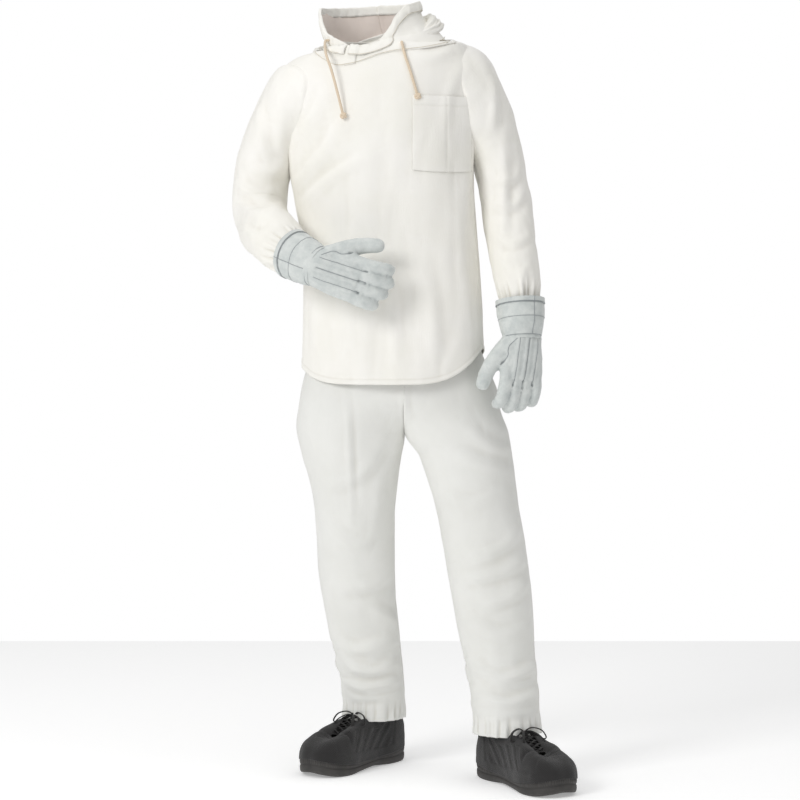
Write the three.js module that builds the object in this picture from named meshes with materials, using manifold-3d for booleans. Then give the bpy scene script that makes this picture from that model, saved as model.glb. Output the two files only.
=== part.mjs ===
// Beekeeping suit as worn: a pullover smock with a dropped hood, elasticated trousers,
// leather gloves and work shoes.
// Millimetres, +Z up, the front faces -Y and the wearer's left is +X. The soles stand on z = 0.
import * as THREE from "three";
import { mergeVertices } from "three/addons/utils/BufferGeometryUtils.js";
import Module from "manifold-3d";

const wasm = await Module();
wasm.setup();

// ---------------------------------------------------------------- driving dimensions
const CLOTH = 2; // thickness of a cloth panel with its seam allowance
const LEATHER = 2.5; // thickness of a glove's leather
const UPPER = 3; // thickness of a shoe's padded upper
const GAP = 0.4; // clearance between pieces that touch
const CUT_GAP = 1; // clearance where a sleeve is set into the faceted body
const SLIP = 0.8; // clearance between pieces that move past each other

const BODY_SIDES = 28; // facets round the smock
const HIP_SIDES = 20;
const LEG_SIDES = 14;
const ARM_SIDES = 14;
const FINGER_SIDES = 8;

const YAW = -10; // the chest turns this many degrees towards the wearer's right
const HEM_LOW = 766; // height of the hem at the front and back
const HEM_RISE = 60; // the shirt-tail hem is this much higher at the side seams
const NECK_SEAM = { back: 1424, drop: 50 }; // height of the hood's seam, and how far it dips in front
const HOOD_RIM = { back: 1492, drop: 94 }; // height of the hood's edge, and how far it dips in front
const HOOD_OVERLAP = 1; // each front edge of the hood crosses the middle by this many facets
const FOLD_R = 21; // radius of the dropped hood's roll behind the neck
const CASING_ENDS = { right: 15, left: 25 }; // where the drawcord leaves its casing, in facets round
const CORD_CASING = 17; // width of the drawcord's casing
const CORD_R = 2.5;
const KNOT_R = 5.5;
const POCKET = { left: 20, right: 120, bottom: 1163, top: 1302 }; // across and up, on the wearer's left

const GROUND = 15; // where the soles stand, in the same heights as the garments
const WAIST = 985; // height of the trousers' top edge
const ANKLE_HEM = 124; // height of the trousers' lower edge
const CASING = 30; // width of an elastic's casing at waist and ankle
const CUFF_CASING = 20; // width of the sleeve's elastic casing
const ELASTIC = 1.6; // thickness of an elastic band

// The outer of the two nested domes at an elbow, and the degrees between which the sleeve swings there.
const ELBOWS = { right: { dome: 62, swing: [-10, 20] }, left: { dome: 52, swing: [0, 30] } };

const GLOVE_CUFF = 70; // length of a glove's cuff
const CUFF_COVERS = 22; // how much of the sleeve the cuff covers
const CUFF_MOUTHS = { right: 39, left: 40.3 }; // half widths that close on each sleeve's end
const PALM = 74; // from the cuff seam to the finger roots
const FINGER_R = 12.5;
const FINGERS = [
  { across: 31, length: 64 },
  { across: 10.5, length: 70 },
  { across: -10, length: 66 },
  { across: -30, length: 54 },
];
const THUMB = { length: 84, radius: 14.5 };

const SHOE_LENGTH = 264;
const SHOE_BALL = 50; // half width of the sole at the ball of the foot
const OUTSOLE = 9;
const MIDSOLE = 18;
const SHOE_TOP = 106; // height of the collar of the shoe
const THROAT = { half: 15, from: -8, to: 66 }; // the opening under the laces
const LACE_ROWS = 5;
const LACE_WIDTH = 5;
const LACE_THICK = 2.4;

// ---------------------------------------------------------------- materials
const paint = (color, roughness, metalness = 0) =>
  new THREE.MeshStandardMaterial({ color, roughness, metalness });
const material = {
  cloth: paint(0xf1f1e8, 0.9),
  trousers: paint(0xe4e5de, 0.9),
  lining: paint(0xe3d6cf, 0.95),
  elastic: paint(0xf4f2ea, 0.85),
  cord: paint(0xe3cfb4, 0.9),
  brass: paint(0x9a8a66, 0.4, 0.9),
  leather: paint(0xb4bec2, 0.85),
  upper: paint(0x3b3b3c, 0.7),
  rubber: paint(0x2c2c2d, 0.8),
  lace: paint(0x151515, 0.85),
};

// ---------------------------------------------------------------- shapes
const v3 = (x, y, z) => new THREE.Vector3(x, y, z);
const radians = THREE.MathUtils.degToRad;
const turned = (degrees) => v3(Math.cos(radians(degrees)), Math.sin(radians(degrees)), 0);

// A closed body of a geometry, turned the right way out.
function solid(geometry) {
  const bare = new THREE.BufferGeometry().setAttribute("position", geometry.getAttribute("position"));
  if (geometry.index) bare.setIndex(geometry.index);
  const merged = mergeVertices(bare, 1e-3);
  const build = (triVerts) =>
    new wasm.Manifold(
      new wasm.Mesh({
        numProp: 3,
        vertProperties: new Float32Array(merged.attributes.position.array),
        triVerts,
      }),
    );
  const triVerts = new Uint32Array(merged.index.array);
  const made = build(triVerts);
  return made.volume() < 0 ? build(triVerts.reverse()) : made;
}

// The three.js geometry of a closed body.
function geometryOf(body) {
  const mesh = body.getMesh();
  const places = new Float32Array(mesh.numVert * 3);
  for (let i = 0; i < mesh.numVert; i++) {
    places.set(mesh.vertProperties.subarray(i * mesh.numProp, i * mesh.numProp + 3), i * 3);
  }
  return new THREE.BufferGeometry()
    .setAttribute("position", new THREE.BufferAttribute(places, 3))
    .setIndex(new THREE.BufferAttribute(mesh.triVerts, 1));
}

// A tube of elliptical sections along a smooth path. Each station is x, y, z, half width, half depth
// and the degrees by which the section's wide side rises. Sections stand square to the path, or to a
// fixed direction.
class Loft {
  constructor(stations, across = v3(1, 0, 0), fixed = null) {
    this.fixed = fixed;
    this.path = new THREE.CatmullRomCurve3(stations.map(([x, y, z]) => v3(x, y, z)));
    this.path.arcLengthDivisions = 400;
    this.sizes = new THREE.CatmullRomCurve3(stations.map((s) => v3(s[3], s[4], s[5] ?? 0)));
    this.across = across;
  }

  // The section's centre, its two axes and its sizes, at a share of the way along.
  frame(along) {
    const t = THREE.MathUtils.clamp(along, 0, 1);
    const ahead = this.fixed?.clone() ?? this.path.getTangent(t);
    const level = this.across.clone().addScaledVector(ahead, -this.across.dot(ahead)).normalize();
    const size = this.sizes.getPoint(t);
    const wide = level.clone().multiplyScalar(Math.cos(radians(size.z)));
    wide.addScaledVector(ahead, Math.sin(radians(size.z)));
    return { centre: this.path.getPoint(t), wide, deep: ahead.clone().cross(level), size };
  }

  // A point of the surface, out millimetres outwards, at a share of a turn from the wide axis.
  point(turn, along, out = 0) {
    const { centre, wide, deep, size } = this.frame(along);
    const angle = 2 * Math.PI * turn;
    return centre
      .addScaledVector(wide, (size.x + out) * Math.cos(angle))
      .addScaledVector(deep, (size.y + out) * Math.sin(angle));
  }
}

const asFunction = (value) => (typeof value === "function" ? value : () => value);

// The triangles of a grid of points, columns wide and rows high, joined to a second grid behind it.
function gridGeometry(front, back, columns, rows, round) {
  const at = (layer, i, j) => (layer * rows + j) * columns + (i % columns);
  const faces = [];
  const quad = (a, b, c, d) => faces.push(a, b, c, a, c, d);
  const across = round ? columns : columns - 1;
  for (let j = 0; j < rows - 1; j++) {
    for (let i = 0; i < across; i++) {
      quad(at(0, i, j), at(0, i + 1, j), at(0, i + 1, j + 1), at(0, i, j + 1));
      faces.push(at(1, i, j), at(1, i + 1, j + 1), at(1, i + 1, j));
      faces.push(at(1, i, j), at(1, i, j + 1), at(1, i + 1, j + 1));
    }
  }
  for (let i = 0; i < across; i++) {
    quad(at(1, i, 0), at(1, i + 1, 0), at(0, i + 1, 0), at(0, i, 0));
    quad(at(0, i, rows - 1), at(0, i + 1, rows - 1), at(1, i + 1, rows - 1), at(1, i, rows - 1));
  }
  if (!round) {
    for (let j = 0; j < rows - 1; j++) {
      quad(at(0, 0, j), at(0, 0, j + 1), at(1, 0, j + 1), at(1, 0, j));
      quad(at(1, across, j), at(1, across, j + 1), at(0, across, j + 1), at(0, across, j));
    }
  }
  const points = [...front, ...back].flatMap((p) => p.toArray());
  return new THREE.BufferGeometry()
    .setAttribute("position", new THREE.BufferAttribute(new Float32Array(points), 3))
    .setIndex(faces);
}

// A panel of a loft between two offsets: a full tube when it goes all the way round.
// from and to, the ends along the loft, and lift, an outward shift, may follow the turn.
function panel(loft, { turn = [0, 1], from = 0, to = 1, lift = 0, inner = -CLOTH, outer = 0, sides, steps }) {
  const round = turn[1] - turn[0] === 1;
  const columns = round ? sides : sides + 1;
  const [low, high, raise] = [from, to, lift].map(asFunction);
  const layer = (out) => {
    const points = [];
    for (let j = 0; j <= steps; j++) {
      for (let i = 0; i < columns; i++) {
        const t = turn[0] + ((turn[1] - turn[0]) * i) / sides;
        points.push(loft.point(t, low(t) + ((high(t) - low(t)) * j) / steps, out + raise(t)));
      }
    }
    return points;
  };
  return solid(gridGeometry(layer(outer), layer(inner), columns, steps + 1, round));
}

// The loft's filled shape, out millimetres larger all round.
function filled(loft, { from = 0, to = 1, out = 0, sides, steps }) {
  const points = [];
  const faces = [];
  for (let j = 0; j <= steps; j++) {
    for (let i = 0; i < sides; i++) points.push(loft.point(i / sides, from + ((to - from) * j) / steps, out));
  }
  for (let j = 0; j < steps; j++) {
    for (let i = 0; i < sides; i++) {
      const [a, b] = [j * sides + i, j * sides + ((i + 1) % sides)];
      faces.push(a, b, b + sides, a, b + sides, a + sides);
    }
  }
  const [first, last] = [points.length, points.length + 1];
  points.push(loft.frame(from).centre, loft.frame(to).centre);
  for (let i = 0; i < sides; i++) {
    const next = (i + 1) % sides;
    faces.push(first, next, i, last, steps * sides + i, steps * sides + next);
  }
  return solid(
    new THREE.BufferGeometry()
      .setAttribute(
        "position",
        new THREE.BufferAttribute(new Float32Array(points.flatMap((p) => p.toArray())), 3),
      )
      .setIndex(faces),
  );
}

const union = (bodies) => bodies.reduce((whole, body) => whole.add(body));
const block = (low, high) => {
  const [a, b] = [v3(...low), v3(...high)];
  const size = b.clone().sub(a);
  const middle = a.add(b).multiplyScalar(0.5);
  return solid(new THREE.BoxGeometry(...size.toArray()).translate(...middle.toArray()));
};
const BALL_FACETS = { across: 14, up: 8 };
const ball = (centre, radius, across = BALL_FACETS.across, up = BALL_FACETS.up) =>
  solid(new THREE.SphereGeometry(radius, across, up).translate(...centre.toArray()));
// How near the middle of a facet lies to a ball's centre, as a share of its radius.
const FACET_DEPTH = Math.cos(Math.PI / BALL_FACETS.across) * Math.cos(Math.PI / (2 * BALL_FACETS.up));

// A body turned by degrees about an axis through a point.
function swung(body, centre, axis, degrees) {
  const matrix = new THREE.Matrix4()
    .makeTranslation(...centre.toArray())
    .multiply(new THREE.Matrix4().makeRotationAxis(axis, radians(degrees)))
    .multiply(new THREE.Matrix4().makeTranslation(...centre.clone().negate().toArray()));
  return solid(geometryOf(body).applyMatrix4(matrix));
}

// A round cord of the given radius along a smooth path through the points.
function cord(points, radius, steps) {
  const section = new THREE.Shape(
    Array.from({ length: 8 }, (_, i) =>
      new THREE.Vector2(Math.cos((i * Math.PI) / 4) * radius, Math.sin((i * Math.PI) / 4) * radius),
    ),
  );
  const path = new THREE.CatmullRomCurve3(points);
  return solid(new THREE.ExtrudeGeometry(section, { extrudePath: path, steps, bevelEnabled: false }));
}

// ---------------------------------------------------------------- the scene graph
const suit = new THREE.Group();
function add(name, body, look) {
  const mesh = new THREE.Mesh(geometryOf(body), look);
  mesh.name = name;
  suit.add(mesh);
}

// ---------------------------------------------------------------- smock
const chest = turned(YAW);
const torso = new Loft(
  [
    [-15, 0, 752, 181, 130, 0],
    [-15, 0, 860, 177, 128, 0],
    [-17, 2, 945, 174, 124, 0],
    [-20, 4, 1040, 170, 121, 2],
    [-30, 4, 1140, 176, 122, 4],
    [-38, 4, 1230, 182, 124, 6],
    [-44, 7, 1310, 188, 116, 8],
    [-48, 12, 1372, 176, 102, 10],
    [-46, 14, 1402, 128, 93, 10],
    [-48, 12, 1428, 98, 87, 8],
    [-54, 12, 1458, 93, 85, 5],
    [-60, 14, 1496, 92, 84, 3],
  ],
  chest,
);
const torsoHeights = Array.from({ length: 401 }, (_, i) => torso.path.getPoint(i / 400).z);
const torsoAlong = (z) => Math.max(0, torsoHeights.findIndex((height) => height >= z)) / 400;
const atFront = (turn) => Math.max(0, -Math.sin(2 * Math.PI * turn));
const dip = (turn, wide) => THREE.MathUtils.smoothstep(atFront(turn), 0, wide);
const hem = (turn) => torsoAlong(HEM_LOW + HEM_RISE * Math.pow(Math.abs(Math.cos(2 * Math.PI * turn)), 5));
const neckSeam = (turn) => torsoAlong(NECK_SEAM.back - NECK_SEAM.drop * dip(turn, 1));
const hoodRim = (turn) => torsoAlong(HOOD_RIM.back - HOOD_RIM.drop * dip(turn, 0.72));
const share = (millimetres) => millimetres / torso.path.getLength();

// The point of the smock's front that has the given x and height, out millimetres outwards.
function onFront(x, z, out = 0) {
  let [low, high] = [0.52, 0.98];
  for (let i = 0; i < 30; i++) {
    const middle = (low + high) / 2;
    if (torso.point(middle, torsoAlong(z)).x < x) low = middle;
    else high = middle;
  }
  return { turn: low, place: torso.point(low, torsoAlong(z), out) };
}

const stations = (places, sizes) => places.map((place, i) => [...place, ...sizes[i]]);
const largest = (body) => body.decompose().sort((a, b) => b.volume() - a.volume())[0];

const armShape = { sides: ARM_SIDES, steps: 4 };

// One sleeve: its upper and lower halves meet in two nested domes at the elbow, so that they can turn.
function makeSleeve({ dome, swing }, upperPlaces, upperSizes, lowerPlaces, lowerSizes) {
  const upper = new Loft(stations(upperPlaces, upperSizes));
  const lower = new Loft(stations(lowerPlaces, lowerSizes));
  const elbow = upper.path.getPoint(1);
  const axis = upper.path.getTangent(1).cross(lower.path.getTangent(0.3)).normalize();
  const nested = (dome - CLOTH) * FACET_DEPTH - SLIP;
  const angles = [0, 1, 2, 3].map((step) => THREE.MathUtils.lerp(...swing, step / 3));
  const upperPath = filled(upper, { ...armShape, out: SLIP });
  const lowerPath = filled(lower, { ...armShape, out: SLIP, to: 0.7 });
  const lowerSweep = union(angles.map((angle) => swung(lowerPath, elbow, axis, angle)));
  const upperSweep = union(angles.map((angle) => swung(upperPath, elbow, axis, -angle)));
  const upperBody = filled(upper, armShape)
    .add(ball(elbow, dome))
    .subtract(filled(upper, { ...armShape, out: -CLOTH }).add(ball(elbow, dome - CLOTH)))
    .subtract(lowerSweep);
  const seam = 1 - CUFF_CASING / lower.path.getLength();
  const lowerBody = filled(lower, { ...armShape, to: seam })
    .add(ball(elbow, nested))
    .subtract(filled(lower, { ...armShape, out: -CLOTH }).add(ball(elbow, nested - CLOTH)))
    .subtract(upperSweep);
  return { upper, lower, seam, elbow, axis, upperBody, lowerBody: largest(lowerBody) };
}
const sleeves = {
  right: makeSleeve(
    ELBOWS.right,
    [[-160, 10, 1322], [-226, 18, 1276], [-264, 34, 1190], [-276, 48, 1108]],
    [[60, 70], [60, 70], [53, 60], [52, 54]],
    [[-276, 48, 1108], [-258, -36, 1070], [-222, -104, 1024], [-196, -131, 1007], [-184, -142, 1001]],
    [[50, 50], [50, 50], [42, 42], [34, 33], [33, 32]],
  ),
  left: makeSleeve(
    ELBOWS.left,
    [[70, 10, 1376], [134, 12, 1338], [178, 12, 1230], [202, 4, 1128]],
    [[56, 70], [58, 72], [50, 58], [44, 45]],
    [[202, 4, 1128], [210, -22, 1040], [223, -50, 950], [226, -60, 916], [227, -63, 900]],
    [[43, 43], [43, 44], [40, 42], [33, 34], [32, 33]],
  ),
};

const seamGap = GAP / 1050; // of a turn, each side of a side seam
const halves = { front: [0.5 + seamGap, 1 - seamGap], back: [seamGap, 0.5 - seamGap] };
const bodyRows = { from: hem, to: neckSeam, steps: 13 };
for (const [name, turn] of Object.entries(halves)) {
  const half = panel(torso, { ...bodyRows, turn, sides: BODY_SIDES / 2 });
  const armholes = Object.values(sleeves).map((sleeve) =>
    filled(sleeve.upper, { ...armShape, out: -CLOTH }),
  );
  add(`smock_${name}`, largest(half.subtract(union(armholes))), material.cloth);
}
const overNeck = (turn) => neckSeam(turn) + share(2 * CUT_GAP);
const bodyFill = panel(torso, { ...bodyRows, to: overNeck, sides: BODY_SIDES, inner: -60, outer: CUT_GAP });
for (const [side, sleeve] of Object.entries(sleeves)) {
  add(`sleeve_${side}_upper`, largest(sleeve.upperBody.subtract(bodyFill)), material.cloth);
  add(`sleeve_${side}_lower`, sleeve.lowerBody, material.cloth);
  const casing = { from: sleeve.seam + 0.002, sides: ARM_SIDES, steps: 2 };
  add(`cuff_casing_${side}`, panel(sleeve.lower, casing), material.cloth);
  const elastic = { from: sleeve.seam + 0.02, to: 0.985, outer: -CLOTH - GAP, inner: -CLOTH - GAP - ELASTIC };
  const cuffBand = panel(sleeve.lower, { ...elastic, sides: ARM_SIDES, steps: 1 });
  add(`cuff_elastic_${side}`, cuffBand, material.elastic);
}

// The hood stands round the neck in two halves, the right one over the left in front.
const overlapLift = (turn) => (CLOTH + GAP) * THREE.MathUtils.smoothstep(turn, 0.67, 0.71);
const hoodFoot = (turn) => neckSeam(turn) + share(GAP * 1.5);
const facet = 1 / BODY_SIDES;
const hoodShape = { from: hoodFoot, to: hoodRim, sides: BODY_SIDES / 2 + HOOD_OVERLAP, steps: 4 };
const rightTurn = [0.25 + seamGap, 0.75 + HOOD_OVERLAP * facet];
const leftTurn = [0.75 - HOOD_OVERLAP * facet, 1.25 - seamGap];
add("hood_right", panel(torso, { ...hoodShape, turn: rightTurn, lift: overlapLift }), material.cloth);
add("hood_left", panel(torso, { ...hoodShape, turn: leftTurn }), material.cloth);

// The drawcord runs round the hood's edge in a sewn casing and hangs out of both of its ends.
const casingMiddle = (turn) => hoodRim(turn) - share(CORD_CASING / 2);
const cordOut = 7 * GAP + CORD_R;
const exitTurn = { right: CASING_ENDS.right * facet + 0.006, left: CASING_ENDS.left * facet - 1 - 0.006 };
const round = (turn, out) => torso.point(turn, casingMiddle(turn), out);
const runTurns = Array.from({ length: 21 }, (_, i) =>
  THREE.MathUtils.lerp(exitTurn.left, exitTurn.right, i / 20),
);
const run = runTurns.map((turn) => round(turn, cordOut));
const channel = cord(run, CORD_R + GAP, 24);
const casing = panel(torso, {
  turn: [CASING_ENDS.left * facet - 1, CASING_ENDS.right * facet],
  from: (turn) => hoodRim(turn) - share(CORD_CASING),
  to: hoodRim,
  inner: 2 * GAP,
  outer: cordOut + CORD_R + CLOTH,
  sides: CASING_ENDS.right - CASING_ENDS.left + BODY_SIDES,
  steps: 2,
});
add("hood_casing", largest(casing.subtract(channel)), material.cloth);
add("drawcord_run", cord(run, CORD_R, 24), material.cord);
const tails = {
  right: [[-130, 1352], [-117, 1306], [-107, 1268]],
  left: [[16, 1352], [24, 1333], [29, 1317]],
};
const overShoulder = {
  right: [[-152, -16, 1416], [-155, -40, 1402], [-148, -66, 1385]],
  left: [[42, -95, 1401]],
};
for (const [side, route] of Object.entries(tails)) {
  const inwards = side === "left" ? 0.01 : -0.01;
  const exit = round(exitTurn[side], cordOut);
  const ahead = exit.clone().sub(round(exitTurn[side] + inwards, cordOut)).normalize();
  const lay = overShoulder[side].map((place) => v3(...place));
  lay.push(...route.map(([x, z]) => onFront(x, z, CORD_R + 2 * CLOTH + 12 * GAP).place));
  const start = [3.2 * GAP, 8].map((on) => exit.clone().addScaledVector(ahead, on));
  add(`drawcord_tail_${side}`, cord([...start, ...lay], CORD_R, 14), material.cord);
  const [last, end] = lay.slice(-2);
  const down = end.clone().sub(last).normalize();
  const knot = end.clone().addScaledVector(down, KNOT_R + GAP);
  add(`drawcord_knot_${side}`, ball(knot, KNOT_R, 10, 7), material.cord);
}

// The dropped hood lies in a soft roll on the shoulders, round the back of the neck.
const rollTurns = [0.02, 0.09, 0.17, 0.25, 0.33, 0.41, 0.48];
const rollSizes = [0.3, 0.75, 1, 1.05, 1, 0.75, 0.3];
const roll = new Loft(
  rollTurns.map((turn, i) => {
    const size = FOLD_R * rollSizes[i];
    const { x, y, z } = torso.point(turn, torsoAlong(1438), size + 2);
    return [x, y, z + 0.3 * size, size, size * 1.25];
  }),
  v3(0, 0, 1),
);
const underRoll = filled(torso, { sides: BODY_SIDES, steps: 22, out: 6 * GAP });
const rolledHood = filled(roll, { sides: 10, steps: 10 }).subtract(underRoll).subtract(bodyFill);
add("hood_roll", largest(rolledHood), material.cloth);

// The chest pocket is an open patch, sewn on round three sides.
const pocketCorners = [onFront(POCKET.left, POCKET.top), onFront(POCKET.right, POCKET.top)];
const pocketTurn = pocketCorners.map((corner) => corner.turn);
const pocketAlong = [torsoAlong(POCKET.bottom), torsoAlong(POCKET.top)];
const pocketPart = (low, high, from, to, inner, outer) =>
  panel(torso, {
    turn: [THREE.MathUtils.lerp(...pocketTurn, low), THREE.MathUtils.lerp(...pocketTurn, high)],
    from: THREE.MathUtils.lerp(...pocketAlong, from),
    to: THREE.MathUtils.lerp(...pocketAlong, to),
    inner,
    outer,
    sides: 5,
    steps: 5,
  });
const POCKET_ROOM = 5; // how far the pocket's mouth stands off the chest
const seamOut = 2 * GAP;
const pocketSolid = pocketPart(0, 1, 0, 1, seamOut, seamOut + CLOTH + POCKET_ROOM);
const pocketInside = pocketPart(0.06, 0.94, 0.06, 1.05, 0, seamOut + POCKET_ROOM);
add("chest_pocket", pocketSolid.subtract(pocketInside), material.cloth);

// ---------------------------------------------------------------- trousers
const hips = new Loft(
  [
    [-4, 2, 640, 150, 100],
    [-6, 2, 740, 158, 106],
    [-10, 2, 840, 156, 108],
    [-14, 2, 930, 150, 104],
    [-15, 2, WAIST, 146, 100],
  ],
  chest,
);
const legs = {
  right: new Loft([
    [-52, 158, ANKLE_HEM, 63, 65],
    [-52, 157, 165, 62, 63],
    [-66, 130, 250, 68, 66],
    [-82, 90, 380, 72, 72],
    [-87, 44, 540, 79, 84],
    [-88, 14, 680, 92, 94],
    [-80, 10, 760, 96, 98],
    [-72, 10, 840, 92, 98],
  ]),
  left: new Loft([
    [202, -22, ANKLE_HEM, 65, 65],
    [200, -21, 165, 64, 63],
    [186, -14, 260, 70, 68],
    [168, -14, 400, 78, 74],
    [144, -10, 540, 80, 82],
    [110, -6, 680, 92, 92],
    [84, -12, 750, 90, 92],
    [60, -20, 815, 83, 88],
    [52, -21, 850, 83, 88],
  ]),
};
const CROTCH = 676;
const SEAM_PLANE = 8; // x of the centre seam
const legShape = { sides: LEG_SIDES, steps: 9 };
const hipShape = { sides: HIP_SIDES, steps: 6 };
const belowWaist = block([-400, -400, 0], [400, 400, WAIST - CASING - GAP]);
const aboveCrotch = block([-400, -400, CROTCH], [400, 400, 1200]);
const hipsOutside = filled(hips, hipShape).intersect(aboveCrotch);
const hipsInside = filled(hips, { ...hipShape, out: -CLOTH });
for (const [side, leg] of Object.entries(legs)) {
  const sign = side === "left" ? 1 : -1;
  const half = sign > 0
    ? block([SEAM_PLANE + GAP / 2, -400, 0], [500, 500, 1200])
    : block([-500, -400, 0], [SEAM_PLANE - GAP / 2, 500, 1200]);
  const other = legs[sign > 0 ? "right" : "left"];
  const seam = CASING / leg.path.getLength();
  const outside = filled(leg, { ...legShape, from: seam }).add(hipsOutside).intersect(half);
  const crotchInside = hipsInside.intersect(block([-400, -400, CROTCH + CLOTH], [400, 400, 1200]));
  const inside = filled(leg, { ...legShape, out: -CLOTH }).add(crotchInside);
  const shell = outside.subtract(inside).intersect(belowWaist);
  // The side seams and the inseam lie where the leg's wide axis meets the cloth.
  const wallRows = Array.from({ length: 10 }, (_, j) => leg.frame(j / 9));
  wallRows.push({ ...hips.frame(1), centre: v3(sign * 80, 2, 1100), size: v3(100, 0, 0), wide: v3(1, 0, 0) });
  const wallSide = (offset) =>
    wallRows.flatMap(({ centre, wide, deep, size }) =>
      [-1, 1].map((s) =>
        centre.clone().addScaledVector(wide, s * (size.x + 60)).addScaledVector(deep, offset),
      ),
    );
  const wall = solid(gridGeometry(wallSide(GAP / 2), wallSide(-GAP / 2), 2, wallRows.length, false));
  const pieces = shell.subtract(wall).decompose().sort((a, b) => b.volume() - a.volume());
  const [a, b] = pieces;
  const middleY = (body) => (body.boundingBox().min[1] + body.boundingBox().max[1]) / 2;
  const [front, back] = middleY(a) < middleY(b) ? [a, b] : [b, a];
  add(`trouser_front_${side}`, front, material.trousers);
  add(`trouser_back_${side}`, back, material.trousers);
  const hemPart = { to: seam - GAP / leg.path.getLength(), sides: LEG_SIDES, steps: 2 };
  add(`ankle_casing_${side}`, panel(leg, hemPart), material.trousers);
  const band = { from: seam * 0.15, to: seam * 0.85, outer: -CLOTH - GAP, inner: -CLOTH - GAP - ELASTIC };
  add(`ankle_elastic_${side}`, panel(leg, { ...band, sides: LEG_SIDES, steps: 1 }), material.elastic);
}
const waistRows = { from: 0.6, sides: HIP_SIDES, steps: 2 };
const aboveSeam = (margin) => block([-400, -400, WAIST - CASING + margin], [400, 400, WAIST - margin]);
add("waistband", panel(hips, waistRows).intersect(aboveSeam(0)), material.trousers);
const waistBand = panel(hips, { ...waistRows, outer: -CLOTH - GAP, inner: -CLOTH - GAP - ELASTIC });
add("waist_elastic", waistBand.intersect(aboveSeam(3)), material.elastic);

// ---------------------------------------------------------------- gloves
// In its own frame a hand points up +Z from the wrist, its thumb side is +X and its palm faces +Y.
function handBodies() {
  const palmShape = { sides: 14, steps: 3 };
  const palm = new Loft([
    [0, 0, 0, 37, 25],
    [0, 0, 30, 41, 22],
    [0, 0, 60, 43, 19],
    [0, 0, PALM, 42, 15],
  ]);
  const fingers = FINGERS.map(({ across, length }) => {
    const spread = across * 0.12;
    const bone = new Loft([
      [across, 0, PALM - 26, FINGER_R, FINGER_R],
      [across + spread * 0.5, 2, PALM + length * 0.35, FINGER_R, FINGER_R],
      [across + spread, 12, PALM + length * 0.75, FINGER_R * 0.95, FINGER_R * 0.95],
      [across + spread, 24, PALM + length - FINGER_R, FINGER_R * 0.85, FINGER_R * 0.85],
    ]);
    return { bone, shape: { sides: FINGER_SIDES, steps: 3 } };
  });
  const tip = (loft, out) => ball(loft.path.getPoint(1), loft.sizes.getPoint(1).x + out, FINGER_SIDES, 4);
  const whole = (out) =>
    union([
      filled(palm, { ...palmShape, out }),
      ...fingers.flatMap(({ bone, shape }) => [filled(bone, { ...shape, out }), tip(bone, out)]),
    ]);
  const thumb = new Loft([
    [30, 6, 22, 17, 17],
    [46, 12, 42, 16.5, 16.5],
    [62, 16, 66, THUMB.radius, THUMB.radius],
    [72, 17, 22 + THUMB.length - THUMB.radius, THUMB.radius * 0.9, THUMB.radius * 0.9],
  ], v3(1, 0, 0));
  const thumbShape = { sides: FINGER_SIDES, steps: 3 };
  const thumbWhole = (out) => filled(thumb, { ...thumbShape, out }).add(tip(thumb, out));
  const hand = whole(0).subtract(whole(-LEATHER)).subtract(thumbWhole(-LEATHER));
  const thumbShell = thumbWhole(0).subtract(thumbWhole(-LEATHER)).subtract(whole(GAP));
  return { hand: largest(hand), thumb: largest(thumbShell) };
}
const placed = (body, matrix) => solid(geometryOf(body).applyMatrix4(matrix));
const frameAt = (place, thumbSide, ahead) => {
  const z = ahead.clone().normalize();
  const y = z.clone().cross(thumbSide).normalize();
  return new THREE.Matrix4().makeBasis(y.clone().cross(z), y, z).setPosition(place);
};
const handPlaces = {
  right: { ahead: v3(0.92, -0.14, -0.32), thumbSide: v3(0.3, -0.1, 0.95) },
  left: { ahead: v3(-0.06, -0.1, -1), thumbSide: v3(-0.88, -0.47, 0.06) },
};
const bareHand = handBodies();
for (const [side, sleeve] of Object.entries(sleeves)) {
  const end = sleeve.lower.path.getPoint(1);
  const ahead = sleeve.lower.path.getTangent(1);
  const start = end.clone().addScaledVector(ahead, -CUFF_COVERS);
  const wrist = start.clone().addScaledVector(ahead, GLOVE_CUFF);
  const mouth = CUFF_MOUTHS[side];
  const rings = [[0, mouth, mouth], [0.25, 45, 45], [0.6, 44, 43], [1, 40, 30]];
  const cuff = new Loft(
    rings.map(([along, wide, deep]) => [...start.clone().lerp(wrist, along).toArray(), wide, deep]),
    handPlaces[side].thumbSide,
  );
  const cuffShell = panel(cuff, { inner: -LEATHER, sides: 16, steps: 3 });
  add(`glove_${side}_cuff`, cuffShell, material.leather);
  // Both palms face the wearer, so the two hands are mirror images.
  const place = frameAt(
    wrist.clone().addScaledVector(ahead, GAP),
    handPlaces[side].thumbSide,
    handPlaces[side].ahead,
  );
  const cuffFill = filled(cuff, { out: GAP, sides: 16, steps: 3 });
  const mirror = new THREE.Matrix4().makeScale(1, side === "left" ? 1 : -1, 1);
  for (const [name, body] of Object.entries(bareHand)) {
    const made = placed(body, place.clone().multiply(mirror)).subtract(cuffFill);
    add(`glove_${side}_${name}`, largest(made), material.leather);
  }
}

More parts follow.
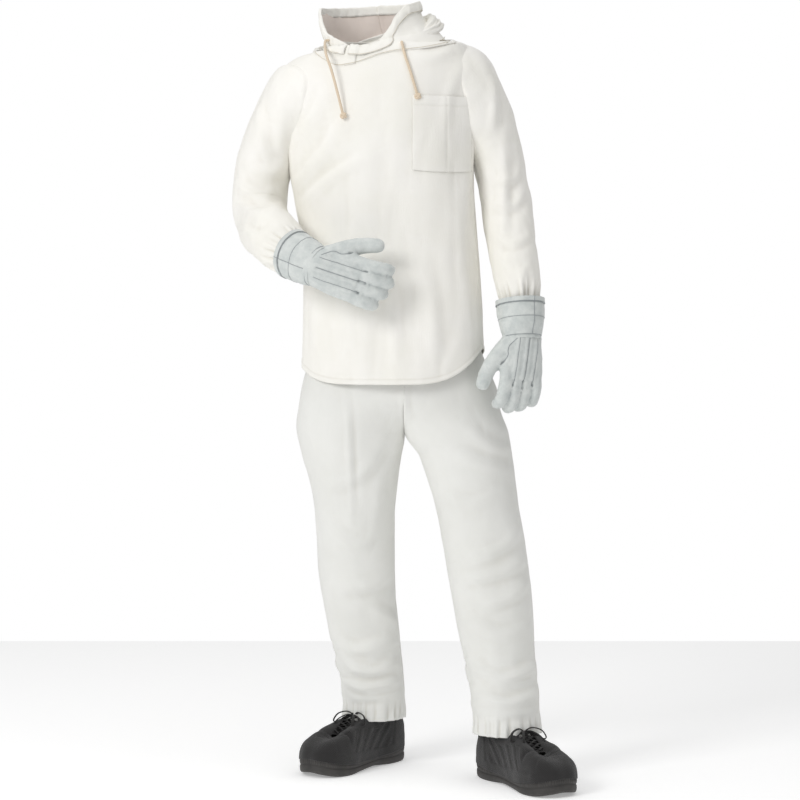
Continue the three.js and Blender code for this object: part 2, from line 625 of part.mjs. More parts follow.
// ---------------------------------------------------------------- shoes
// In its own frame a shoe points along +Y and stands on z = 0.
const half = [
  [0, -0.5], [0.56, -0.47], [0.74, -0.32], [0.7, -0.12], [0.84, 0.08], [1, 0.25], [0.9, 0.4], [0.46, 0.49],
];
const outline = [...half, [0, 0.5], ...half.slice(1).reverse().map(([x, y]) => [-x, y])].map(
  ([x, y]) => new THREE.Vector2(x * SHOE_BALL, y * SHOE_LENGTH),
);
function slab(inset, from, to, toeSpring = 0) {
  const curve = new THREE.SplineCurve([...outline, outline[0]]);
  const scale = v3(1 - inset / SHOE_BALL, 1 - (2 * inset) / SHOE_LENGTH, 1);
  const shape = new THREE.Shape(curve.getPoints(32).slice(0, -1));
  const geometry = new THREE.ExtrudeGeometry(shape, { depth: to - from - toeSpring, bevelEnabled: false });
  return solid(geometry.scale(...scale.toArray()).translate(0, 0, from));
}
const soleTop = OUTSOLE + GAP + MIDSOLE;
const ANKLE_Y = -62; // the middle of the shoe's mouth, under the leg
const upperLoft = new Loft(
  [
    [0, 0, soleTop - 16, SHOE_BALL - 2, SHOE_LENGTH / 2 - 3],
    [0, 0, soleTop + 2, SHOE_BALL - 2, SHOE_LENGTH / 2 - 3],
    [0, -5, soleTop + 18, SHOE_BALL - 3, SHOE_LENGTH / 2 - 11],
    [0, -13, soleTop + 29, SHOE_BALL - 6, SHOE_LENGTH / 2 - 23],
    [0, -27, soleTop + 38, SHOE_BALL - 9, SHOE_LENGTH / 2 - 41],
    [0, -42, soleTop + 52, SHOE_BALL - 13, SHOE_LENGTH / 2 - 58],
    [0, -54, soleTop + 66, SHOE_BALL - 16, SHOE_LENGTH / 2 - 72],
    [0, -62, SHOE_TOP, SHOE_BALL - 18, SHOE_LENGTH / 2 - 80],
  ],
  v3(1, 0, 0),
  v3(0, 0, 1),
);
const upperShape = { sides: 20, steps: 8 };
const shoeUpper = (out) => filled(upperLoft, { ...upperShape, out });
const over = block([-100, -200, soleTop + GAP], [100, 200, 200]);
const throat = block(
  [-THROAT.half, THROAT.from, soleTop + 18],
  [THROAT.half, THROAT.to, 200],
);
const inShoe = shoeUpper(-UPPER);
const shoeParts = [
  ["outsole", slab(0, 0, OUTSOLE), material.rubber],
  ["midsole", slab(1, OUTSOLE + GAP, soleTop), material.rubber],
  ["upper", shoeUpper(0).subtract(inShoe).subtract(throat).intersect(over), material.upper],
  [
    "toe_cap",
    shoeUpper(GAP + 2)
      .subtract(shoeUpper(GAP))
      .intersect(block([-100, 84, soleTop + GAP], [100, 200, soleTop + 30])),
    material.rubber,
  ],
  [
    "heel_counter",
    shoeUpper(GAP + 2)
      .subtract(shoeUpper(GAP))
      .intersect(block([-100, -200, soleTop + GAP], [100, -92, soleTop + 46])),
    material.upper,
  ],
  [
    "tongue",
    shoeUpper(-UPPER - GAP)
      .subtract(shoeUpper(-UPPER - GAP - 4))
      .intersect(
        block(
          [-THROAT.half - 8, THROAT.from - 26, soleTop + 18],
          [THROAT.half + 8, THROAT.to + 8, 200],
        ),
      ),
    material.upper,
  ],
  [
    "insole",
    shoeUpper(-UPPER - GAP).intersect(block([-100, -200, soleTop + GAP], [100, 200, soleTop + 5])),
    material.lining,
  ],
];
// The flat lace runs to and fro over the tongue.
const laceReach = THROAT.half + 7;
const rowPitch = (THROAT.to - THROAT.from - 16) / (LACE_ROWS - 1);
const lacePlan = [];
for (let row = 0; row < LACE_ROWS; row++) {
  const y = THROAT.from + 8 + rowPitch * row;
  lacePlan.push(block([-laceReach, y - LACE_WIDTH / 2, 0], [laceReach, y + LACE_WIDTH / 2, 200]));
  if (row === LACE_ROWS - 1) continue;
  const edge = row % 2 ? -laceReach : laceReach - LACE_WIDTH;
  lacePlan.push(block([edge, y, 0], [edge + LACE_WIDTH, y + rowPitch, 200]));
}
const lace = shoeUpper(GAP + LACE_THICK).subtract(shoeUpper(GAP)).intersect(union(lacePlan));
shoeParts.push(["lace", largest(lace), material.lace]);
const shoePlaces = {
  right: { place: v3(-52, 158, GROUND), heading: 38 },
  left: { place: v3(202, -22, GROUND), heading: -30 },
};
for (const [side, { place, heading }] of Object.entries(shoePlaces)) {
  const turn = new THREE.Matrix4()
    .makeTranslation(...place.toArray())
    .multiply(new THREE.Matrix4().makeRotationZ(radians(180 - heading)))
    .multiply(new THREE.Matrix4().makeTranslation(0, -ANKLE_Y, 0));
  for (const [name, body, look] of shoeParts) add(`shoe_${side}_${name}`, placed(body, turn), look);
}

// The row's origin is the middle of the outline on the floor.
const outlineBox = new THREE.Box3().setFromObject(suit);
const middle = outlineBox.getCenter(v3(0, 0, 0));
suit.position.set(-middle.x, -middle.y, -outlineBox.min.z);

export default suit;
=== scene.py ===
"""Beekeeping suit: a hooded pullover smock, elasticated trousers, split-leather gloves and laced work shoes."""

import math

import bmesh
import bpy
import numpy as np
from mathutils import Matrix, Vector
from mathutils.bvhtree import BVHTree


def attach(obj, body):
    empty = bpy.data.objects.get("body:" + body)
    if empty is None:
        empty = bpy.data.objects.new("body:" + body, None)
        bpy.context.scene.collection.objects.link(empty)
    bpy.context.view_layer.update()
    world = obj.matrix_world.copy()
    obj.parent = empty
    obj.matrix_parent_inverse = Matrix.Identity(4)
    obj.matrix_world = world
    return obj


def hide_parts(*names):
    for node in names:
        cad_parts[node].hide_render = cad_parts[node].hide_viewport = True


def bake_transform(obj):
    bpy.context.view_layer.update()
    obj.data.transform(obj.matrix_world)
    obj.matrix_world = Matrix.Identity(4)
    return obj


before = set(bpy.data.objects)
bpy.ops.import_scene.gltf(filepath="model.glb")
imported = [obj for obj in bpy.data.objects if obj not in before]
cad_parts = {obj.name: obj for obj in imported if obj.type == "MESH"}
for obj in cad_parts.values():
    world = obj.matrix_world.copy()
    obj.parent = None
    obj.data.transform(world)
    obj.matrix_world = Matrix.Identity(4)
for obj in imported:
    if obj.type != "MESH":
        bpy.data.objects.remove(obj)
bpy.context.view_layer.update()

# Lengths below are millimetres from the pattern's own origin, which lies this far from the model's.
PATTERN_ORIGIN = np.array([6.614, -11.861, -15.0])
CLOTH_THICK = 1.6  # a cotton panel with its seam allowance
CHEST_TURN = -10  # degrees that the chest faces towards the wearer's right


def metres(points):
    """Pattern points in the model's metres."""
    return (np.asarray(points, float) + PATTERN_ORIGIN) / 1000


def mm(x, y, z):
    return Vector(metres((x, y, z)))


# ---------------------------------------------------------------- camera
def place_camera():
    """A long lens at hip height, square to the wearer."""
    data = bpy.data.cameras.new("portrait_lens")
    data.sensor_width = 36
    data.lens = 36 * 4.7 / 1.52
    data.shift_y = -0.1195
    data.clip_end = 60
    camera = bpy.data.objects.new("portrait_camera", data)
    bpy.context.collection.objects.link(camera)
    camera.location = mm(0, -4700, 915)
    camera.rotation_euler = (math.radians(90), 0, 0)
    bpy.context.scene.camera = camera


place_camera()


# ---------------------------------------------------------------- materials
def linear(hex_colour):
    """A shader colour from an sRGB hex string."""
    parts = [int(hex_colour[i : i + 2], 16) / 255 for i in (1, 3, 5)]
    return tuple(c / 12.92 if c <= 0.04045 else ((c + 0.055) / 1.055) ** 2.4 for c in parts) + (1,)


class Finish:
    """A node material under construction."""

    def __init__(self, name, roughness, sheen=0.0, specular=0.4):
        self.material = bpy.data.materials.new(name)
        self.material.use_nodes = True
        self.tree = self.material.node_tree
        self.shader = self.tree.nodes["Principled BSDF"]
        self.shader.inputs["Roughness"].default_value = roughness
        self.shader.inputs["Sheen Weight"].default_value = sheen
        self.shader.inputs["Specular IOR Level"].default_value = specular

    def node(self, kind, links=(), **settings):
        """One more node: links joins its inputs to earlier outputs, settings are its values."""
        made = self.tree.nodes.new(kind)
        for key, value in settings.items():
            if key in made.inputs:
                made.inputs[key].default_value = value
            else:
                setattr(made, key, value)
        for key, source in dict(links).items():
            self.tree.links.new(source, made.inputs[key])
        return made

    def place(self, kind="Object"):
        return self.node("ShaderNodeTexCoord").outputs[kind]

    def noise(self, where, per_metre, detail=3, roughness=0.55, stretch=(1, 1, 1)):
        scaled = self.node("ShaderNodeMapping", {"Vector": where}, Scale=tuple(per_metre * s for s in stretch))
        links = {"Vector": scaled.outputs[0]}
        made = self.node("ShaderNodeTexNoise", links, Scale=1.0, Detail=detail, Roughness=roughness)
        return made.outputs["Fac"]

    def wave(self, where, per_metre, direction, turn=0.0):
        spun = self.node("ShaderNodeMapping", {"Vector": where}, Rotation=(0, 0, math.radians(turn)))
        # One band of a wave texture at scale 1 is pi / 10 long.
        links = {"Vector": spun.outputs[0]}
        scale = per_metre * math.pi / 10
        return self.node("ShaderNodeTexWave", links, Scale=scale, bands_direction=direction).outputs["Fac"]

    def math(self, operation, a, b):
        made = self.node("ShaderNodeMath", operation=operation)
        for socket, value in zip(made.inputs, (a, b)):
            if isinstance(value, (int, float)):
                socket.default_value = value
            else:
                self.tree.links.new(value, socket)
        return made.outputs[0]

    def ramp(self, value, *stops):
        """Colours along a value, as pairs of position and hex colour."""
        made = self.node("ShaderNodeValToRGB", {"Fac": value})
        edge = made.color_ramp.elements
        while len(edge) < len(stops):
            edge.new(0.5)
        for element, (position, colour) in zip(edge, stops):
            element.position = position
            element.color = linear(colour)
        return made.outputs["Color"]

    def mix(self, share, a, b, blend="MIX"):
        made = self.node("ShaderNodeMix", data_type="RGBA", blend_type=blend)
        for socket, value in zip((made.inputs[0], made.inputs[6], made.inputs[7]), (share, a, b)):
            if isinstance(value, (int, float, tuple)):
                socket.default_value = value
            else:
                self.tree.links.new(value, socket)
        return made.outputs[2]

    def colour(self, source):
        self.tree.links.new(source, self.shader.inputs["Base Color"])

    def roughness(self, value, low, high):
        links = {"Value": value}
        spread = self.node("ShaderNodeMapRange", links, **{"To Min": low, "To Max": high})
        self.tree.links.new(spread.outputs[0], self.shader.inputs["Roughness"])

    def bump(self, *layers):
        """Relief from pairs of height and depth in millimetres, laid over one another."""
        normal = None
        for height, depth in layers:
            links = {"Height": height}
            if normal:
                links["Normal"] = normal
            normal = self.node("ShaderNodeBump", links, Distance=depth / 1000, Strength=1.0).outputs[0]
        self.tree.links.new(normal, self.shader.inputs["Normal"])
        return self.material


def cotton(name, light, shade, weave_mm):
    """Plain-woven cotton: warp over weft, slubs along the yarns, a soft laundered unevenness, and painted shade
    that darkens its hollows.
    """
    f = Finish(name, 0.9, sheen=0.12, specular=0.25)
    uv = f.place("UV")
    warp = f.wave(uv, 1000 / weave_mm, "X")
    weft = f.wave(uv, 1000 / weave_mm, "Y")
    weave = f.math("MAXIMUM", warp, f.math("MULTIPLY", weft, 0.85))
    slub = f.noise(uv, 420, 2, 0.6, stretch=(1, 0.12, 1))
    cloud = f.noise(f.place(), 9, 4)
    tone = f.ramp(cloud, (0.3, shade), (0.7, light))
    worn = f.mix(f.math("MULTIPLY", weave, 0.05), tone, linear("#FFFFFF"))
    # Painted shade: the cloth is darkened where its surface is hollow, in creases and folds.
    hollow = f.node("ShaderNodeNewGeometry").outputs["Pointiness"]
    painted_hollow_shade = f.ramp(hollow, (0.44, "#DAD5CA"), (0.5, "#FFFFFF"))
    f.colour(f.mix(0.55, worn, painted_hollow_shade, "MULTIPLY"))
    f.roughness(slub, 0.82, 0.98)
    return f.bump((weave, 0.12), (slub, 0.25))


def tape(name, light, shade, rib_mm):
    """Twisted or braided cotton: slanting strands along the run."""
    f = Finish(name, 0.85, sheen=0.2, specular=0.2)
    uv = f.place("UV")
    one = f.wave(uv, 1000 / rib_mm, "X", 40)
    other = f.wave(uv, 1000 / rib_mm, "X", -40)
    braid = f.math("MAXIMUM", one, other)
    fuzz = f.noise(f.place(), 900, 3)
    f.colour(f.mix(f.math("MULTIPLY", braid, 0.7), linear(shade), linear(light)))
    f.roughness(fuzz, 0.75, 0.95)
    return f.bump((braid, 0.5), (fuzz, 0.15))


def suede(name, light, shade):
    """Split cowhide: a brushed nap in patches, painted shade that darkens its hollows, and a few scars."""
    f = Finish(name, 0.95, sheen=0.35, specular=0.15)
    here = f.place()
    nap = f.noise(here, 1400, 4, 0.7)
    patch = f.noise(here, 55, 5, 0.6)
    scars = f.noise(here, 160, 3, 0.5, stretch=(1, 0.25, 1))
    tone = f.ramp(patch, (0.32, shade), (0.66, light))
    # Painted shade: the leather is darkened where its surface is hollow.
    hollow = f.node("ShaderNodeNewGeometry").outputs["Pointiness"]
    painted_crease_shade = f.ramp(hollow, (0.42, "#AEB4B8"), (0.5, "#FFFFFF"))
    fibre = f.ramp(nap, (0.3, "#E2E5E6"), (0.75, "#FFFFFF"))
    f.colour(f.mix(0.6, f.mix(0.6, tone, fibre, "MULTIPLY"), painted_crease_shade, "MULTIPLY"))
    f.roughness(patch, 0.85, 1.0)
    return f.bump((scars, 0.9), (nap, 0.35))


def grained(name, light, shade, rough_low, rough_high, grain_mm=1.1, grain_deep=0.28, laid_on=None):
    """Coated synthetic leather: pebbled grain, scuffed paler on edges."""
    f = Finish(name, 0.5, specular=0.45)
    here = f.place()
    scaled = f.node("ShaderNodeMapping", {"Vector": here}, Scale=(1000 / grain_mm,) * 3)
    pebble = f.node("ShaderNodeTexVoronoi", {"Vector": scaled.outputs[0]}, Scale=1.0, feature="SMOOTH_F1")
    cloud = f.noise(here, 40, 4)
    tone = f.ramp(cloud, (0.3, shade), (0.7, light))
    if laid_on:
        share = f.node("ShaderNodeAttribute", attribute_name="overlay").outputs["Fac"]
        tone = f.mix(share, tone, linear(laid_on))
    edge = f.node("ShaderNodeNewGeometry").outputs["Pointiness"]
    scuff = f.ramp(edge, (0.51, "#000000"), (0.58, "#FFFFFF"))
    broken = f.math("MULTIPLY", scuff, f.math("MULTIPLY", cloud, 0.5))
    f.colour(f.mix(broken, tone, linear("#8A8784")))
    f.roughness(cloud, rough_low, rough_high)
    return f.bump((pebble.outputs["Distance"], grain_deep), (cloud, 0.5))


# Off-white unbleached cotton of the smock, and the slightly greyer cloth of the trousers.
SMOCK_CLOTH = cotton("smock_cotton", "#FBF9F4", "#F6F4EC", 1.2)
TROUSER_CLOTH = cotton("trouser_cotton", "#ECECE8", "#E5E5E0", 1.3)
# The same cloth seen inside the hood, darker and warmer: painted shade, where the light is warm and low.
LINING_IN_PAINTED_SHADE = cotton("hood_lining_painted_shade", "#EFE4DC", "#E6D8CF", 1.2)
# Natural cotton drawcord.
CORD = tape("cotton_drawcord", "#F2E3CF", "#DCC6A8", 2.4)
# Stitching thread, a touch yellower than the cloth.
THREAD = tape("cotton_thread", "#F2ECDC", "#E4DAC4", 1.0)
# Blue-grey split leather of the gloves, and its thread.
SUEDE = suede("split_leather", "#E3E6E3", "#CED3D1")
GLOVE_THREAD = tape("glove_thread", "#B4B9BB", "#949A9E", 1.0)
# Black grained uppers, matt moulded rubber soles, woven laces and a padded mesh lining.
SHOE_LEATHER = grained("coated_leather", "#343230", "#282625", 0.34, 0.55, laid_on="#474442")
RUBBER = grained("moulded_rubber", "#3A3836", "#2C2A29", 0.5, 0.75, 2.2, 0.16)
LACE = tape("shoe_lace", "#2F2D2C", "#151413", 1.6)
SHOE_LINING = tape("padded_mesh_lining", "#3B3A3A", "#1E1D1D", 2.2)


def finish_with(obj, *materials):
    obj.data.materials.clear()
    for material in materials:
        obj.data.materials.append(material)
    return obj


# ---------------------------------------------------------------- shapes
def smooth_curve(points, count):
    """Catmull-Rom points through the given rows of numbers."""
    rows = np.asarray(points, float)
    rows = np.vstack([2 * rows[0] - rows[1], rows, 2 * rows[-1] - rows[-2]])
    spans = len(rows) - 3
    at = np.linspace(0, spans, count)
    span = np.minimum(at.astype(int), spans - 1)
    t = (at - span)[:, None]
    a, b, c, d = (rows[span + k] for k in range(4))
    return 0.5 * (2 * b + (c - a) * t + (2 * a - 5 * b + 4 * c - d) * t**2 + (3 * b - a - 3 * c + d) * t**3)


def lengths(rows):
    steps = np.linalg.norm(np.diff(rows[:, :3], axis=0), axis=1)
    return np.concatenate([[0], np.cumsum(steps)])


def tube(stations, around, along, wide=(1, 0, 0)):
    """Rings of points along stations of x, y, z, half width, half depth and roll in degrees."""
    stations = [list(s) + [0] * (6 - len(s)) for s in stations]
    rows = smooth_curve(stations, 60)
    far = lengths(rows)
    even = np.linspace(0, far[-1], along)
    rows = np.stack([np.interp(even, far, rows[:, k]) for k in range(6)], axis=1)
    ahead = np.gradient(rows[:, :3], axis=0)
    ahead /= np.linalg.norm(ahead, axis=1)[:, None]
    level = np.asarray(wide, float) - ahead * (ahead @ np.asarray(wide, float))[:, None]
    level /= np.linalg.norm(level, axis=1)[:, None]
    deep = np.cross(ahead, level)
    roll = np.radians(rows[:, 5])[:, None]
    across = level * np.cos(roll) + ahead * np.sin(roll)
    turn = np.arange(around) / around * 2 * math.pi
    return (
        rows[:, None, :3]
        + across[:, None] * (rows[:, 3, None] * np.cos(turn))[:, :, None]
        + deep[:, None] * (rows[:, 4, None] * np.sin(turn))[:, :, None]
    )


def normals(rings):
    """Outward directions of a closed grid of rings."""
    round_ = np.roll(rings, -1, axis=1) - np.roll(rings, 1, axis=1)
    along = np.gradient(rings, axis=0)
    n = np.cross(round_, along)
    n /= np.maximum(np.linalg.norm(n, axis=2), 1e-9)[:, :, None]
    return n


def smoothstep(x, low, high):
    t = np.clip((x - low) / (high - low), 0, 1)
    return t * t * (3 - 2 * t)


def lattice(points, seed):
    """Smooth noise between -1 and 1 on a unit lattice."""
    cell = np.floor(points).astype(np.int64)
    part = points - cell
    part = part * part * part * (part * (part * 6 - 15) + 10)
    total = 0
    for corner in range(8):
        offset = np.array([corner & 1, corner >> 1 & 1, corner >> 2 & 1])
        c = cell + offset
        h = (c[..., 0] * 73856093) ^ (c[..., 1] * 19349663) ^ (c[..., 2] * 83492791) ^ (seed * 2654435761)
        h = (h ^ (h >> 13)) * 1274126177
        value = ((h ^ (h >> 16)) & 0xFFFF) / 32767.5 - 1
        weight = np.prod(np.where(offset == 1, part, 1 - part), axis=-1)
        total = total + value * weight
    return total


def rumple(points, size, seed):
    """Soft folds: two sizes of noise. size gives the fold's extent along x, y and z."""
    scaled = points / np.asarray(size, float)
    bent = scaled + 0.35 * np.stack([lattice(scaled * 0.7 + k * 9.1, seed + k) for k in (1, 2, 3)], axis=-1)
    return lattice(bent, seed) + 0.45 * lattice(bent * 2.1, seed + 7)


def crease(rings, out, route, height, width, face=(0, -1, 0), view=(0, 2)):
    """How far a fold lifts each point. The route runs over two of the axes, seen from the face's side."""
    flat = rings[:, :, view]
    best = np.full(flat.shape[:2], 1e9)
    signed = np.zeros(flat.shape[:2])
    share = np.zeros(flat.shape[:2])
    route = smooth_curve(route, max(6, 4 * len(route)))
    far = lengths(route)
    for i in range(len(route) - 1):
        a, d = route[i], route[i + 1] - route[i]
        t = np.clip(((flat - a) @ d) / (d @ d), 0, 1)
        away = flat - (a + t[:, :, None] * d)
        distance = np.linalg.norm(away, axis=2)
        nearer = distance < best
        side = np.sign(d[0] * away[:, :, 1] - d[1] * away[:, :, 0])
        best = np.where(nearer, distance, best)
        signed = np.where(nearer, side * distance, signed)
        share = np.where(nearer, (far[i] + t * (far[i + 1] - far[i])) / far[-1], share)
    taper = np.sin(math.pi * np.clip(share, 0.03, 0.97)) ** 0.7
    beyond = np.exp(-((best / width) ** 2))
    ridge = beyond - 0.55 * np.exp(-(((signed - 1.5 * width) / width) ** 2))
    facing = smoothstep(out @ np.asarray(face, float), 0.05, 0.45)
    return height * ridge * taper * facing


def declare_sheet(rings, keep, across):
    """Lengths round the rows and along the columns of a piece of cloth's grid, over its kept faces; nothing is
    returned.
    """
    wide = np.linalg.norm(np.roll(rings, -1, axis=1) - rings, axis=2)[:, :across]
    long = np.linalg.norm(np.diff(rings, axis=0), axis=2)[:, :across]
    kept = np.ones((len(rings) - 1, across), bool) if keep is None else keep[:, :across]
    wide, long = wide[:-1] * kept, long * kept


def cloth_piece(
    name, rings, materials, keep=None, closed=True, thick=CLOTH_THICK, body=None, held=None
):
    """A sheet made from a grid of points, with cloth-sized UVs. keep picks the faces by ring and column.
    A second material is that of its inside."""
    rows, columns = rings.shape[:2]
    mesh = bpy.data.meshes.new(name)
    across = columns if closed else columns - 1
    faces, spots = [], []
    for j in range(rows - 1):
        for i in range(across):
            if keep is None or keep[j, i]:
                here, above = j * columns, (j + 1) * columns
                beside = (i + 1) % columns
                faces.append([here + i, here + beside, above + beside, above + i])
                spots.append((j, i))
    mesh.from_pydata([tuple(p) for p in metres(rings).reshape(-1, 3)], [], faces)
    girth = np.linalg.norm(np.diff(rings, axis=1, append=rings[:, :1]), axis=2).mean(axis=0)
    u = np.concatenate([[0], np.cumsum(girth)]) / 1000
    v = lengths(rings.mean(axis=1)) / 1000
    layer = mesh.uv_layers.new(name="cloth").data
    for face, (j, i) in enumerate(spots):
        for k, (dj, di) in enumerate(((0, 0), (0, 1), (1, 1), (1, 0))):
            layer[4 * face + k].uv = (u[i + di], v[j + dj])
    obj = bpy.data.objects.new(name, mesh)
    bpy.context.collection.objects.link(obj)
    finish_with(obj, *materials)
    select(obj)
    bpy.ops.object.mode_set(mode="EDIT")
    bpy.ops.mesh.select_all(action="SELECT")
    bpy.ops.mesh.delete_loose()
    bpy.ops.object.mode_set(mode="OBJECT")
    if thick:
        wall = obj.modifiers.new("thickness", "SOLIDIFY")
        wall.thickness = thick / 1000
        wall.offset = -1
        wall.material_offset = len(materials) - 1
        bpy.ops.object.modifier_apply(modifier=wall.name)
    bpy.ops.object.shade_smooth()
    if body:
        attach(obj, body)
    if held:
        declare_sheet(rings, keep, across)
    return obj


def select(obj):
    bpy.ops.object.select_all(action="DESELECT")
    obj.select_set(True)
    bpy.context.view_layer.objects.active = obj


def tube_piece(name, route, radius, material, body, sides=10, flat=1.0):
    """A round cord or seam tube along a smooth route in pattern millimetres."""
    route = np.asarray(route, float)
    ahead = np.gradient(route, axis=0)
    ahead /= np.linalg.norm(ahead, axis=1)[:, None]
    side = np.cross(ahead[0], (0.3, 0.2, 0.9))
    rings = []
    for point, forward in zip(route, ahead):
        side = side - forward * (side @ forward)
        side /= np.linalg.norm(side)
        up = np.cross(forward, side)
        turn = np.arange(sides) / sides * 2 * math.pi
        rings.append(point + radius * (np.cos(turn)[:, None] * side + flat * np.sin(turn)[:, None] * up))
    bm = bmesh.new()
    loops = [[bm.verts.new(metres(p)) for p in ring] for ring in rings]
    layer = bm.loops.layers.uv.new("cloth")
    far = lengths(route) / 1000
    for j in range(len(loops) - 1):
        for i in range(sides):
            k = (i + 1) % sides
            face = bm.faces.new([loops[j][i], loops[j][k], loops[j + 1][k], loops[j + 1][i]])
            girth = 2 * math.pi * radius / 1000 / sides
            for loop, (a, b) in zip(face.loops, ((i, j), (i + 1, j), (i + 1, j + 1), (i, j + 1))):
                loop[layer].uv = (a * girth, far[b])
    bm.faces.new(loops[0][::-1])
    bm.faces.new(loops[-1])
    mesh = bpy.data.meshes.new(name)
    bm.to_mesh(mesh)
    bm.free()
    obj = bpy.data.objects.new(name, mesh)
    bpy.context.collection.objects.link(obj)
    finish_with(obj, material)
    select(obj)
    bpy.ops.object.shade_smooth()
    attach(obj, body)
    return obj


# ---------------------------------------------------------------- the smock's body
TORSO = [
    (-15, 0, 752, 178, 128, 0),
    (-15, 0, 860, 176, 127, 0),
    (-17, 2, 945, 173, 123, 0),
    (-20, 4, 1040, 170, 120, 2),
    (-30, 4, 1140, 175, 121, 4),
    (-38, 4, 1230, 182, 123, 6),
    (-44, 7, 1310, 188, 115, 8),
    (-48, 12, 1372, 177, 102, 10),
    (-46, 14, 1402, 129, 93, 10),
    (-48, 12, 1428, 98, 86, 8),
    (-54, 12, 1458, 92, 84, 5),
    (-60, 14, 1506, 91, 83, 3),
]
chest = (math.cos(math.radians(CHEST_TURN)), math.sin(math.radians(CHEST_TURN)), 0)
AROUND = 264
NECK_LOW = 0.70  # where round the neck the hood's seam and its opening dip lowest, in turns
NOTCH = 0.715
trunk = tube(TORSO, AROUND, 240, chest)
turns = np.arange(AROUND) / AROUND
sideways = np.cos(2 * math.pi * turns)
hem_height = 766 + np.where(sideways > 0, 66, 40) * np.abs(sideways) ** 5
from_notch = (turns - NOTCH + 0.5) % 1 - 0.5
# Heights by turn, from the middle of the back round the wearer's right, the throat and the left.
NECK_SEAM = (
    (0.25, 1424), (0.5, 1421), (0.56, 1409), (0.63, 1396), (0.67, 1379), (0.7, 1362),
    (0.745, 1371), (0.765, 1382), (0.8, 1391), (0.85, 1395), (0.92, 1408), (1.0, 1422), (1.25, 1424),
)
HOOD_RIM = (
    (0.25, 1492), (0.5, 1480), (0.536, 1461), (0.582, 1427), (0.683, 1402), (0.729, 1396), (0.753, 1397),
    (0.789, 1409), (0.821, 1431), (0.853, 1455), (0.9, 1475), (1.0, 1488), (1.25, 1492),
)


def heights_by_turn(table):
    """Heights round the neck, eased over a few columns."""
    at, height = zip(*table)
    level = np.interp((turns - 0.25) % 1 + 0.25, at, height)
    for _ in range(14):
        level = (np.roll(level, 1) + 2 * level + np.roll(level, -1)) / 4
    return level


neck_height = heights_by_turn(NECK_SEAM)
rim_height = heights_by_turn(HOOD_RIM)


def between(grid, low, high, rows):
    """The part of a tube of rings from one height to another, for each column of points."""
    out = np.empty((rows, grid.shape[1], 3))
    for i in range(grid.shape[1]):
        heights = np.linspace(low[i], high[i], rows)
        for k in range(3):
            out[:, i, k] = np.interp(heights, grid[:, i, 2], grid[:, i, k])
    return out


ARMHOLE_EASE = 62  # how far from the armhole the cloth bridges the angle between body and sleeve


def bridge(away, z):
    """How far the cloth stands off where body and sleeve meet, from the distance to the other of the two."""
    near = np.clip(1 - np.abs(away) / ARMHOLE_EASE, 0, 1)
    return ARMHOLE_EASE / 4 * near**2 * smoothstep(z, 1175, 1260) * smoothstep(-z, -1400, -1340)


def from_sleeves(points):
    """Distance from each point to the nearer sleeve's side."""
    best = np.full(points.shape[:2], 1e9)
    for stations in SLEEVES.values():
        for x, y, z, wide, deep in smooth_curve(stations, 60):
            away = np.linalg.norm(points - (x, y, z), axis=2) - (wide + deep) / 2
            best = np.minimum(best, away)
    return best


def drape_bodice(rings):
    """The folds of the hanging cotton, lifted along the cloth's outward side."""
    out = normals(rings)
    z = rings[:, :, 2]
    lift = 4.2 * rumple(rings, (110, 110, 330), 3) * smoothstep(-z, -1420, -1300)
    lift += 1.7 * rumple(rings, (34, 34, 90), 11) * smoothstep(-z, -1400, -1250)
    for route, height, width in (
        (((-190, 930), (-120, 985), (-40, 1000)), 4, 13),
        (((-205, 1130), (-150, 1190), (-100, 1260)), 5, 14),
        (((-200, 1090), (-130, 1150), (-60, 1190)), 4, 12),
        (((-180, 1230), (-150, 1280), (-130, 1330)), 4, 12),
        (((40, 1010), (60, 900), (68, 800)), 4.5, 15),
        (((-20, 980), (-12, 880), (-8, 790)), 4, 14),
        (((-150, 960), (-158, 880), (-150, 800)), 5, 15),
        (((110, 1120), (120, 980), (125, 860)), 5, 15),
        (((120, 1380), (90, 1300), (84, 1230)), 3, 12),
        (((146, 1240), (128, 1150), (120, 1060)), 4, 12),
        (((20, 1380), (60, 1376), (104, 1392)), 4, 12),
    ):
        lift += crease(rings, out, route, height, width)
    for route, height, width in (
        (((150, 1240), (80, 1150), (20, 1080)), 6, 20),
        (((-190, 1200), (-120, 1130), (-40, 1090)), 6, 20),
        (((60, 1050), (80, 930), (90, 800)), 7, 20),
        (((-90, 1040), (-110, 930), (-120, 800)), 7, 20),
        (((-20, 1340), (-24, 1200), (-20, 1100)), 4, 18),
    ):
        lift += crease(rings, out, route, height, width, face=(0, 1, 0))
    lift += bridge(from_sleeves(rings), z)
    return rings + out * lift[:, :, None]


# Both sleeves from the shoulder to the wrist, as x, y, z, half width and half depth.
SLEEVES = {
    "right": [
        (-150, 10, 1326, 58, 66),
        (-200, 14, 1300, 57, 70),
        (-236, 22, 1250, 53, 66),
        (-260, 34, 1180, 52, 60),
        (-270, 40, 1112, 52, 56),
        (-260, 4, 1068, 51, 52),
        (-240, -62, 1046, 52, 52),
        (-212, -108, 1018, 46, 47),
        (-196, -131, 1007, 37, 37),
        (-184, -142, 1001, 33, 32),
    ],
    "left": [
        (76, 10, 1372, 54, 66),
        (122, 12, 1346, 57, 70),
        (156, 12, 1280, 56, 68),
        (178, 12, 1220, 52, 60),
        (200, 4, 1128, 47, 50),
        (209, -20, 1045, 46, 47),
        (221, -46, 960, 44, 45),
        (225, -57, 925, 37, 37),
        (227, -63, 900, 33, 33),
    ],
}


def narrow_hem(rings, deep, bulge):
    """A narrow folded hem on the first rows: a little proud, with its stitched line drawn in above it."""
    far = np.linalg.norm(np.diff(rings, axis=0, prepend=rings[:1]), axis=2).cumsum(axis=0)
    lift = np.where(far < deep, bulge, 0) - 0.9 * bulge * np.exp(-(((far - deep - 1.5) / 1.6) ** 2))
    return rings + normals(rings) * lift[:, :, None]


